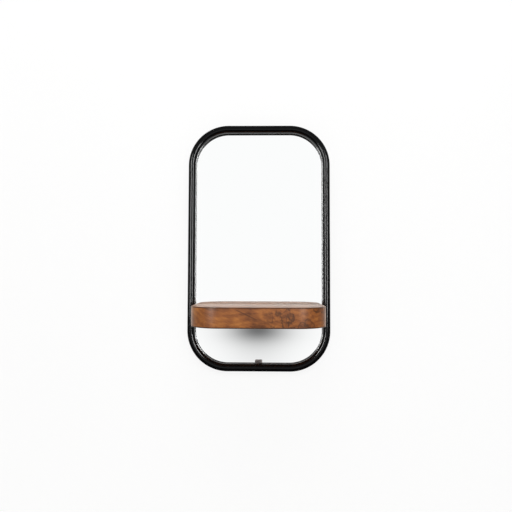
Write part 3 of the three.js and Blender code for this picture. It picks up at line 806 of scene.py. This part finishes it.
def spun(name, profile):
    """A round piece about Y, from (radius, y) points in metres that start and end on the axis or close."""
    clear_selection()
    bpy.ops.mesh.primitive_plane_add(size=MM)
    piece = start_piece(name)
    bpy.context.tool_settings.mesh_select_mode = (True, False, False)
    bpy.ops.object.mode_set(mode="EDIT")
    bpy.ops.mesh.select_all(action="SELECT")
    bpy.ops.mesh.merge(type="CENTER")
    bpy.ops.transform.translate(value=(*profile[0], 0))
    for (r0, y0), (r1, y1) in zip(profile, profile[1:]):
        bpy.ops.mesh.extrude_region_move(TRANSFORM_OT_translate={"value": (r1 - r0, y1 - y0, 0)})
    bpy.ops.mesh.select_all(action="SELECT")
    bpy.ops.mesh.spin(steps=SPIN_STEPS, angle=2 * math.pi, center=(0, 0, 0), axis=(0, 1, 0))
    bpy.ops.mesh.select_all(action="SELECT")
    bpy.ops.mesh.remove_doubles(threshold=TINY / 2)
    bpy.ops.mesh.normals_make_consistent(inside=False)
    bpy.ops.object.mode_set(mode="OBJECT")
    return piece


def arc(centre_radius, centre_y, radius, start, end, steps=6):
    """Points of a round stretch of a profile, from one angle in degrees to another."""
    angles = [math.radians(start + (end - start) * step / steps) for step in range(steps + 1)]
    return [(centre_radius + radius * math.cos(a), centre_y + radius * math.sin(a)) for a in angles]


RECESS_SPAN = 4.4 * MM
RECESS_SLOT = 1.0 * MM
RECESS_DEPTH = 1.5 * MM
RECESS_TAPER = 0.45


def cross_recess(face_y, inward):
    """Two crossed wedges that sink into a head from its face, as a cross-head driver's tip does."""
    wedges = []
    for wide, narrow in ((RECESS_SPAN, RECESS_SLOT), (RECESS_SLOT, RECESS_SPAN)):
        low = (-wide / 2, face_y - inward * MM, -narrow / 2)
        high = (wide / 2, face_y + inward * RECESS_DEPTH, narrow / 2)
        wedge = block(low, high)
        pick(wedge, "polygons", lambda corners: all(abs(c.y - high[1]) < TINY for c in corners))
        bpy.ops.transform.resize(value=(RECESS_TAPER, 1, RECESS_TAPER))
        bpy.ops.object.mode_set(mode="OBJECT")
        wedges.append(wedge)
    return wedges


print("a quarter arc has", len(arc(0, 0, MM, 0, 90)), "points")

# %% Model: pan-head pivot screws, bushes and buffers
screw_low, screw_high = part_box("button_screw_left_top")
bush_low, bush_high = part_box("button_bush_left_top")
button_low, button_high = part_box("turn_button_left_top")
buffer_low, buffer_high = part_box("wall_buffer_left")
SHANK_RADIUS = 2 * MM
HEAD_HEIGHT = 2.2 * MM
HEAD_CROWN = 1.1 * MM
THREAD_PITCH = 0.7 * MM
THREAD_DEPTH = 0.25 * MM
BUSH_BORE = 2.3 * MM
BUSH_CHAMFER = 0.5 * MM
BUFFER_ROUNDING = 2 * MM
BUFFER_DIMPLE_RADIUS = 2 * MM
BUFFER_DIMPLE_DEPTH = 1.2 * MM


def make_pivot_screw():
    head_radius = (screw_high.x - screw_low.x) / 2
    face, tip = screw_high.y, screw_low.y
    head_front = face - HEAD_HEIGHT
    profile = [(0, tip), (SHANK_RADIUS * 0.6, tip)]
    turns = int((head_front - tip) / THREAD_PITCH) - 2
    for turn in range(turns):
        y = tip + (turn + 1) * THREAD_PITCH
        profile += [(SHANK_RADIUS - THREAD_DEPTH, y - THREAD_PITCH / 2), (SHANK_RADIUS, y)]
    profile += [(SHANK_RADIUS, head_front), (head_radius - 0.2 * MM, head_front)]
    profile += arc(head_radius - HEAD_CROWN, face - HEAD_CROWN, HEAD_CROWN, -10, 90)
    profile += [(0, face)]
    screw = spun("pivot_screw", profile)
    cut_away(screw, cross_recess(face, -1))
    return screw


def make_bush():
    outer = (bush_high.x - bush_low.x) / 2
    front, back, chamfer = bush_low.y, bush_high.y, BUSH_CHAMFER
    return spun("nylon_bush", [
        (BUSH_BORE, front), (outer - chamfer, front), (outer, front + chamfer),
        (outer, back - chamfer), (outer - chamfer, back), (BUSH_BORE, back), (BUSH_BORE, front),
    ])


def make_buffer():
    outer = (buffer_high.x - buffer_low.x) / 2
    front, back = buffer_low.y, buffer_high.y
    rounding = BUFFER_ROUNDING
    profile = [(0, front), (outer - 0.3 * MM, front), (outer, front + 0.3 * MM)]
    profile += arc(outer - rounding, back - rounding, rounding, 0, 90)
    profile += [(BUFFER_DIMPLE_RADIUS + 0.4 * MM, back), (BUFFER_DIMPLE_RADIUS, back - 0.4 * MM)]
    profile += [(BUFFER_DIMPLE_RADIUS, back - BUFFER_DIMPLE_DEPTH), (0, back - BUFFER_DIMPLE_DEPTH)]
    return spun("rubber_buffer", profile)


def hand_out(model, places, material, body_of=lambda node: "mirror"):
    """Copies a model to its places, each a (node, move, turn), and throws the model away."""
    for node, move, turn in places:
        twin = copy_of(model, f"{model.name}_{node.split('_', 2)[-1]}", move, turn)
        hand_over(twin, [node], material, body_of(node))
    bpy.data.objects.remove(model)


still = Matrix.Identity(4)
pivots = [(name, (x, 0, z)) for name, (x, z) in zip(button_names, screw_centres)]
hand_out(make_pivot_screw(), [(f"button_screw_{name}", at, still) for name, at in pivots],
         zinc)
hand_out(make_bush(), [(f"button_bush_{name}", at, still) for name, at in pivots], nylon)
buffer_z = (buffer_low.z + buffer_high.z) / 2
buffer_x = (buffer_low.x + buffer_high.x) / 2
hand_out(make_buffer(), [
    ("wall_buffer_left", (buffer_x, 0, buffer_z), still),
    ("wall_buffer_right", (-buffer_x, 0, buffer_z), still),
], rubber)

# %% [markdown]
# ## Turn buttons
#
# A turn button is a small stamped bar with round ends. It turns on its screw to let the board out, so each
# one rides on its own body. A box gets the four edges along Y bevelled to half its width, which makes both
# ends round, a drill opens the hole for the screw, and a soft edge stands for the tumbling that stamped
# parts get.

# %% Model: the turn buttons
BUTTON_HOLE = 2.3 * MM
BUTTON_EDGE = 0.25 * MM


def make_button():
    """A button with its pivot on the Y axis, pointing to +X."""
    half = (button_high.z - button_low.z) / 2
    reach = button_high.x - button_low.x - half
    button = block((-half, button_low.y, -half), (reach, button_high.y, half), "stamped_button")
    round_corners(button, 1, half - TINY, 16, shortest=0.5 * MM)
    middle_y = (button_low.y + button_high.y) / 2
    cut_away(button, [drill((0, middle_y, 0), BUTTON_HOLE, 6 * MM)])
    soften(button, BUTTON_EDGE)
    return button


half_turn = Matrix.Rotation(math.pi, 4, "Y")
hand_out(
    make_button(),
    [(f"turn_button_{name}", at, still if "left" in name else half_turn) for name, at in pivots],
    zinc, body_of=lambda node: node.replace("turn_button", "button"),
)

# %% [markdown]
# ## Shelf brackets and their screws
#
# Each bracket is a steel plate let into the shelf's underside: an arm that reaches forward, a foot that
# reaches the tube, and an upright flange that is welded along it. Boxes are fused and softened for it, and
# a spun cone sinks the screw holes. The right bracket is modelled and the left is its mirrored copy. The
# wood screws are spun with their threads, point upwards, and have a cross recess in their flat heads.

# %% Model: brackets and wood screws
bracket_low, bracket_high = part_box("shelf_bracket_right")
wood_low, wood_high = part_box("shelf_screw_right_front")
back_low, back_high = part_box("shelf_screw_right_back")
wood_screw_x = (wood_low.x + wood_high.x) / 2
wood_head_radius = (wood_high.x - wood_low.x) / 2
wood_screw_ys = [(low.y + high.y) / 2 for low, high in ((wood_low, wood_high), (back_low, back_high))]
TIP_RADIUS = 5 * MM
WOOD_THREAD_PITCH = 1.8 * MM
WOOD_THREAD_DEPTH = 0.6 * MM
WOOD_HEAD_HEIGHT = 2.4 * MM
BRACKET_EDGE = 0.4 * MM
upwards = Matrix.Rotation(math.pi / 2, 4, "X")


def make_bracket():
    low, high = bracket_low, bracket_high
    arm = block(low, (low.x + ARM_WIDTH, high.y, low.z + STEEL), "steel_bracket")
    round_corners(arm, 2, TIP_RADIUS, 10, lambda end: end.y < low.y + MM)
    foot = block((low.x, high.y - FOOT_LENGTH, low.z), (high.x, high.y, low.z + STEEL))
    flange = block((high.x - STEEL, high.y - FLANGE_LENGTH, low.z), high)
    join_solids(arm, [foot, flange])
    holes = []
    for y in wood_screw_ys:
        cone = spun("cutter", [
            (0, -MM), (wood_head_radius + FIT, -MM), (wood_head_radius + FIT, 0.2 * MM),
            (SHANK_RADIUS + FIT, WOOD_HEAD_HEIGHT + FIT), (SHANK_RADIUS + FIT, 3 * STEEL), (0, 3 * STEEL),
        ])
        cone.data.transform(Matrix.Translation((wood_screw_x, y, low.z)) @ upwards)
        holes.append(cone)
    cut_away(arm, holes)
    soften(arm, BRACKET_EDGE)
    return arm


def make_wood_screw():
    length = wood_high.z - wood_low.z
    thin = SHANK_RADIUS - WOOD_THREAD_DEPTH
    profile = [(0, 0), (wood_head_radius - 0.1 * MM, 0), (wood_head_radius, 0.2 * MM),
               (SHANK_RADIUS, WOOD_HEAD_HEIGHT), (SHANK_RADIUS, length * 0.35)]
    y = length * 0.35
    while y < length - 5 * MM:
        profile += [(thin, y + WOOD_THREAD_PITCH * 0.5), (SHANK_RADIUS, y + WOOD_THREAD_PITCH)]
        y += WOOD_THREAD_PITCH
    profile += [(thin, y + WOOD_THREAD_PITCH * 0.5), (0, length)]
    screw = spun("wood_screw", profile)
    cut_away(screw, cross_recess(0, 1))
    return screw


mirrored = Matrix.Scale(-1, 4, (1, 0, 0))
hand_out(make_bracket(), [
    ("shelf_bracket_right", (0, 0, 0), still), ("shelf_bracket_left", (0, 0, 0), mirrored),
], powder_coat)
hand_out(make_wood_screw(), [
    (f"shelf_screw_{hand}_{end}", (side * wood_screw_x, y, wood_low.z), upwards)
    for hand, side in (("left", -1), ("right", 1)) for end, y in zip(("front", "back"), wood_screw_ys)
], zinc)

# %% [markdown]
# ## Hanging plate and ledges
#
# The hanging plate is stamped with two keyholes: a screw's head goes in through the round hole, and its
# neck slides along the slot. Two ears stand forward from it and are welded to the top rail. The ledges
# are short strips welded behind the lower rail, and carry the glass. All are boxes that are fused, cut and
# softened as the real plates are pressed, punched and coated.

# %% Model: the hanging plate and the ledges
plate_low, plate_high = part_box("hanging_plate")
PLATE_SHEET = 2 * MM
EAR_TOP_MARGIN = 2 * MM
EAR_GAP = 0.6 * MM
KEYHOLE_X = 35 * MM
KEYHOLE_RADIUS = 5 * MM
KEYHOLE_SLOT = 2.5 * MM
KEYHOLE_LIFT = 13 * MM
PLATE_EDGE = 0.35 * MM
LEDGE_EDGE = 0.3 * MM
LEDGE_CORNER = 2 * MM


def make_plate():
    low, high = plate_low, plate_high
    front = high.y - PLATE_SHEET
    plate = block((low.x, front, low.z), high, "stamped_hanging_plate")
    ear_low, ear_high = glass_high.z + EAR_GAP, high.z - EAR_TOP_MARGIN
    ears = [
        block((x, low.y, ear_low), (x + PLATE_SHEET, high.y - PLATE_SHEET / 2, ear_high))
        for x in (low.x, high.x - PLATE_SHEET)
    ]
    join_solids(plate, ears)
    holes = []
    for x in (-KEYHOLE_X, KEYHOLE_X):
        lift = KEYHOLE_LIFT / 2
        holes.append(drill((x, front, -lift), KEYHOLE_RADIUS, 8 * MM))
        holes.append(drill((x, front, lift), KEYHOLE_SLOT, 8 * MM))
        slot_low = (x - KEYHOLE_SLOT, front - 3 * MM, -lift)
        holes.append(block(slot_low, (x + KEYHOLE_SLOT, high.y + 3 * MM, lift)))
    cut_away(plate, holes)
    soften(plate, PLATE_EDGE)
    return plate


def make_ledge():
    low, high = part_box("mirror_ledge_right")
    ledge = block(low, high, "welded_ledge")
    round_corners(ledge, 2, LEDGE_CORNER, 6, lambda end: end.y > high.y - MM)
    soften(ledge, LEDGE_EDGE)
    return ledge


hand_over(make_plate(), ["hanging_plate"], powder_coat)
hand_out(make_ledge(), [
    ("mirror_ledge_right", (0, 0, 0), still), ("mirror_ledge_left", (0, 0, 0), mirrored),
], powder_coat)

# %% [markdown]
# ## Weld beads
#
# A weld is a row of small puddles that froze one on the next. Each bead here is the same: a row of
# overlapping balls, joined and remeshed into one skin, so that the ripples stay. Short beads tie the
# plate's ears to the top rail, the ledges to the lower rail and the bracket flanges to the side tubes. All
# of them lie at the back or out of sight, as a maker would place them, and are coated with the rest.

# %% Model: weld beads
BEAD_PITCH = 1.1 * MM
BEAD_SKIN = 0.3 * MM
BEAD_LIFT = 0.4 * MM


def weld_bead(name, points, radius):
    """One bead through a row of points."""
    balls = []
    for point in points:
        clear_selection()
        bpy.ops.mesh.primitive_uv_sphere_add(segments=14, ring_count=8, radius=radius, location=point)
        balls.append(start_piece(name))
    clear_selection()
    for ball in balls:
        ball.select_set(True)
    bpy.context.view_layer.objects.active = balls[0]
    bpy.ops.object.join()
    apply_modifier(balls[0], "REMESH", mode="VOXEL", voxel_size=BEAD_SKIN)
    return balls[0]


def row(start, end):
    """Points from one place to another, a bead's pitch apart."""
    start, end = Vector(start), Vector(end)
    count = max(2, round((end - start).length / BEAD_PITCH))
    return [start.lerp(end, step / count) for step in range(count + 1)]


def ear_row(x):
    """Points round the back of the top rail, beside an ear."""
    reach = tube_radius + BEAD_LIFT
    angles = [math.radians(angle) for angle in range(-28, 33, 8)]
    return [Vector((x, tube_y + reach * math.cos(a), rail_high + reach * math.sin(a))) for a in angles]


EAR_BEAD = 1.1 * MM
LEDGE_BEAD = 1.3 * MM
FLANGE_BEAD = 1.2 * MM
ledge_low, ledge_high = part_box("mirror_ledge_right")
for side, hand in ((-1, "left"), (1, "right")):
    ear_outer = side * plate_high.x
    ear_inner = side * (plate_high.x - PLATE_SHEET)
    y, z = ledge_low.y + 0.2 * MM, ledge_low.z - 0.6 * MM
    flange_x = side * (bracket_high.x + 0.7 * MM)
    ledge_row = row((side * (ledge_low.x + 2 * MM), y, z), (side * (ledge_high.x - 2 * MM), y, z))
    flange_y = bracket_high.y - 1.6 * MM
    flange_row = row((flange_x, flange_y, bracket_low.z + MM), (flange_x, flange_y, bracket_high.z - MM))
    beads = {
        f"ear_weld_{hand}_outer": (ear_row(ear_outer + side * BEAD_LIFT), EAR_BEAD),
        f"ear_weld_{hand}_inner": (ear_row(ear_inner - side * BEAD_LIFT), EAR_BEAD),
        f"ledge_weld_{hand}": (ledge_row, LEDGE_BEAD),
        f"flange_weld_{hand}": (flange_row, FLANGE_BEAD),
    }
    for name, (points, radius) in beads.items():
        hand_over(weld_bead(name, points, radius), [], powder_coat, smooth=60)

# %% [markdown]
# ## Studio, camera and output
#
# The mirror hangs on a white wall over a pale floor. The wall shows only to the camera and only from its
# front, so it keeps a faint shadow, and a view from behind sees through it.

# %% Wall and floor
FLOOR_BELOW = 1.25
ROOM = 8.0
GLOW_SHARE = 0.85
MOTTLE = 1 / 3


def make_stage_paint(name, see_through_back):
    """White paint that mostly glows for the camera, with a share of real light that keeps shadows."""
    material, tree, shader = new_material(name)
    fill(tree, shader, {
        "Base Color": drifting_colour(tree, MOTTLE, 3.0, ("f0f0ef", "f8f8f7")), "Roughness": 0.9,
    })
    path = add(tree, "LightPath")
    share = add(tree, "Math", {0: path.outputs["Is Camera Ray"], 1: GLOW_SHARE}, operation="MULTIPLY")
    glow = add(tree, "Emission", {"Color": (1, 1, 1, 1), "Strength": 1.0})
    shown = add(tree, "MixShader", {0: share.outputs[0], 1: shader.outputs[0], 2: glow.outputs[0]})
    if see_through_back:
        clear = add(tree, "BsdfTransparent")
        behind = add(tree, "NewGeometry").outputs["Backfacing"]
        shown = add(tree, "MixShader", {0: behind, 1: shown.outputs[0], 2: clear.outputs[0]})
    tree.links.new(shown.outputs[0], tree.nodes["Material Output"].inputs["Surface"])
    return material


def make_stage():
    clear_selection()
    bpy.ops.mesh.primitive_plane_add(size=ROOM, location=(0, 0, 0))
    floor = start_piece("floor")
    floor.location = (0, wall_y - ROOM / 2 + MM, -FLOOR_BELOW)
    floor.data.materials.append(make_stage_paint("pale floor", False))
    clear_selection()
    bpy.ops.mesh.primitive_plane_add(size=ROOM, location=(0, 0, 0), rotation=(math.pi / 2, 0, 0))
    wall = start_piece("wall")
    wall.location = (0, wall_y + MM, ROOM / 2 - FLOOR_BELOW)
    wall.data.materials.append(make_stage_paint("white wall", True))
    for ray in ("diffuse", "glossy", "transmission", "shadow", "volume_scatter"):
        setattr(wall, f"visible_{ray}", False)
    floor.visible_glossy = False


make_stage()
print("wall at y =", round(wall_y, 4), "and floor", FLOOR_BELOW, "m below the plate")

# %% Camera
CAMERA_RIGHT = 12.85 * MM
CAMERA_BELOW_CENTRE = 63.68 * MM
CAMERA_DISTANCE = 1.0291
CAMERA_UP = math.radians(2.520)
CAMERA_LEFT = math.radians(1.052)
CAMERA_ROLL = math.radians(0.176)
LENS = 34.28


def make_camera():
    data = bpy.data.cameras.new("camera")
    data.lens = LENS
    data.sensor_width = 36
    camera = bpy.data.objects.new("camera", data)
    bpy.context.scene.collection.objects.link(camera)
    turn = (
        Matrix.Rotation(CAMERA_LEFT, 4, "Z")
        @ Matrix.Rotation(math.pi / 2 + CAMERA_UP, 4, "X")
        @ Matrix.Rotation(CAMERA_ROLL, 4, "Z")
    )
    camera.matrix_world = Matrix.Translation(
        (CAMERA_RIGHT, tube_y - CAMERA_DISTANCE, centre_z - CAMERA_BELOW_CENTRE)
    ) @ turn
    bpy.context.scene.camera = camera


make_camera()
print("camera", CAMERA_DISTANCE, "m in front of the tube")

# %% [markdown]
# ## Light
#
# A round black tube shows each bright thing as a stripe along its length, so two tall strips stand to the
# left and right in front, where their stripes fall as they should. They serve gloss alone. A front box and
# a top box, which gloss doesn't see, light the wood, and a box behind lights the back. The world is white
# for the camera and for the mirror, except for a soft dark patch just below the lens that only the mirror
# sees. It is a painted dark reflection that darkens the mirror under the shelf. The rough black coat sees a
# dimmer world, with a pale card straight ahead.

# %% Softboxes
STRIP_DISTANCE = 3.0
STRIP_LIFT = 0.375
STRIP_SIZE = (0.26, 1.55)
STRIPS = ((-34.5, 40), (25.8, 37))  # degrees to the side, and watts
# Each box: its place from the frame's middle, its size in metres, its watts, and whether gloss sees it
BOXES = {
    "front_box": ((0.2, -2.4, 1.0), (1.6, 0.9), 24, False),
    "top_box": ((0.0, -0.7, 1.9), (1.4, 0.7), 20, False),
    "back_box": ((0.8, 2.6, 1.2), (2.0, 2.0), 20, True),
}


def add_softbox(name, place, size, power, aim=(0, tube_y, centre_z)):
    light = bpy.data.lights.new(name, "AREA")
    light.shape = "RECTANGLE"
    light.size, light.size_y = size
    light.energy = power
    lamp = bpy.data.objects.new(name, light)
    bpy.context.scene.collection.objects.link(lamp)
    lamp.location = place
    lamp.rotation_euler = (Vector(aim) - Vector(place)).to_track_quat("-Z", "Y").to_euler()
    return lamp


for number, (side, power) in enumerate(STRIPS):
    across, ahead = math.sin(math.radians(side)), -math.cos(math.radians(side))
    place = (STRIP_DISTANCE * across, STRIP_DISTANCE * ahead, centre_z + STRIP_LIFT)
    add_softbox(f"strip_{number}", place, STRIP_SIZE, power).visible_diffuse = False
for name, ((x, y, lift), size, power, shiny) in BOXES.items():
    add_softbox(name, (x, y, centre_z + lift), size, power).visible_glossy = shiny

# %% The white world, and what the mirror sees of it
SOFT_LIGHT = 0.48
GLOSS_LIGHT, GLOSS_FLOOR = 0.14, 0.02
GLOSS_RISE = (-0.5, 0.1)  # from the floor's share to the sky's, by how steeply a ray goes up
FRONT_CARD = (18, 10, 0.5)  # degrees wide and high, and brightness
# The painted dark reflection that the mirror shows under the shelf: degrees below and beside the way ahead,
# its upper end, and two parts
SHADE_DOWN, SHADE_SIDE, SHADE_TOP, SHADE_START = 6.1, -0.8, 3.6, 0.2
SHADE_PARTS = ((3.9, 1.45, 0.56), (3.6, 4.2, 0.27))  # degrees wide and high, and darkness


def soft_patch(tree, across, down, width, height, depth):
    """How dark one soft patch is: it falls off in degrees to the side and up or down."""
    total = None
    for angle, reach in ((across, width), (down, height)):
        share = add(tree, "Math", {0: angle, 1: 1 / reach}, operation="MULTIPLY").outputs[0]
        share = add(tree, "Math", {0: share, 1: share}, operation="MULTIPLY").outputs[0]
        total = share if total is None else add(
            tree, "Math", {0: total, 1: share}, operation="ADD").outputs[0]
    total = add(tree, "Math", {0: total, 1: -1.0}, operation="MULTIPLY").outputs[0]
    total = add(tree, "Math", {0: total}, operation="EXPONENT").outputs[0]
    return add(tree, "Math", {0: total, 1: depth}, operation="MULTIPLY").outputs[0]


def make_world():
    world = bpy.data.worlds.new("white studio")
    bpy.context.scene.world = world
    world.use_nodes = True
    tree = world.node_tree
    background = tree.nodes["Background"]
    path = add(tree, "LightPath")
    way = add(tree, "TexCoord").outputs["Generated"]
    part = add(tree, "SeparateXYZ", {"Vector": way})

    # Near the way straight ahead an angle is close to its sine, so degrees come from X and Z alone
    per_degree = 180 / math.pi
    across = add(tree, "Math", {0: part.outputs["X"], 1: per_degree, 2: -SHADE_SIDE},
                 operation="MULTIPLY_ADD").outputs[0]
    down = add(tree, "Math", {0: part.outputs["Z"], 1: per_degree, 2: SHADE_DOWN},
               operation="MULTIPLY_ADD").outputs[0]
    # Painted shade: a soft dark patch that only the mirror sees, which puts a dark reflection under the shelf
    shade = None
    for width, height, depth in SHADE_PARTS:
        patch = soft_patch(tree, across, down, width, height, depth)
        shade = patch if shade is None else add(
            tree, "Math", {0: shade, 1: patch}, operation="ADD").outputs[0]
    upper_end = add(tree, "MapRange", {
        "Value": down, "From Min": SHADE_START, "From Max": SHADE_DOWN - SHADE_TOP,
        "To Min": 1.0, "To Max": 0.0,
    }, interpolation_type="SMOOTHSTEP").outputs["Result"]
    ahead = add(tree, "Math", {0: part.outputs["Y"], 1: 0.0}, operation="LESS_THAN").outputs[0]
    for limit in (upper_end, ahead):
        shade = add(tree, "Math", {0: shade, 1: limit}, operation="MULTIPLY").outputs[0]
    # The mirror's colour: white, darkened by the painted dark patch under the shelf
    painted_mirror_shade = add(tree, "Mix", {"Factor": shade, 6: (1, 1, 1, 1), 7: srgb("06080c")},
               data_type="RGBA").outputs[2]

    # White for the camera, the mirror and glass, dimmer for rough gloss, and soft light for the rest
    camera = path.outputs["Is Camera Ray"]
    mirror = add(tree, "Math", {0: path.outputs["Is Singular Ray"], 1: camera}, operation="SUBTRACT",
                 use_clamp=True).outputs[0]
    white = add(tree, "Math", {0: camera, 1: mirror}, operation="MAXIMUM").outputs[0]
    white = add(tree, "Math", {0: white, 1: path.outputs["Is Transmission Ray"]},
                operation="MAXIMUM").outputs[0]
    card = soft_patch(tree, across, down, *FRONT_CARD)
    card = add(tree, "Math", {0: card, 1: ahead}, operation="MULTIPLY").outputs[0]
    gloss = add(tree, "MapRange", {
        "Value": part.outputs["Z"], "From Min": GLOSS_RISE[0], "From Max": GLOSS_RISE[1],
        "To Min": GLOSS_FLOOR, "To Max": GLOSS_LIGHT,
    }).outputs["Result"]
    gloss = add(tree, "Math", {0: gloss, 1: card}, operation="ADD").outputs[0]
    dim = add(tree, "Mix", {0: path.outputs["Is Glossy Ray"], 2: SOFT_LIGHT, 3: gloss},
              data_type="FLOAT").outputs[0]
    strength = add(tree, "Mix", {0: white, 2: dim, 3: 1.0}, data_type="FLOAT").outputs[0]
    colour = add(tree, "Mix", {0: mirror, 6: (1, 1, 1, 1), 7: painted_mirror_shade}, data_type="RGBA").outputs[2]
    tree.links.new(colour, background.inputs["Color"])
    tree.links.new(strength, background.inputs["Strength"])


make_world()
bpy.context.scene.view_settings.view_transform = "Standard"
print("view transform:", bpy.context.scene.view_settings.view_transform)

# %% Sizes, and the last line
def corners(box):
    return [list(corner) for corner in box]
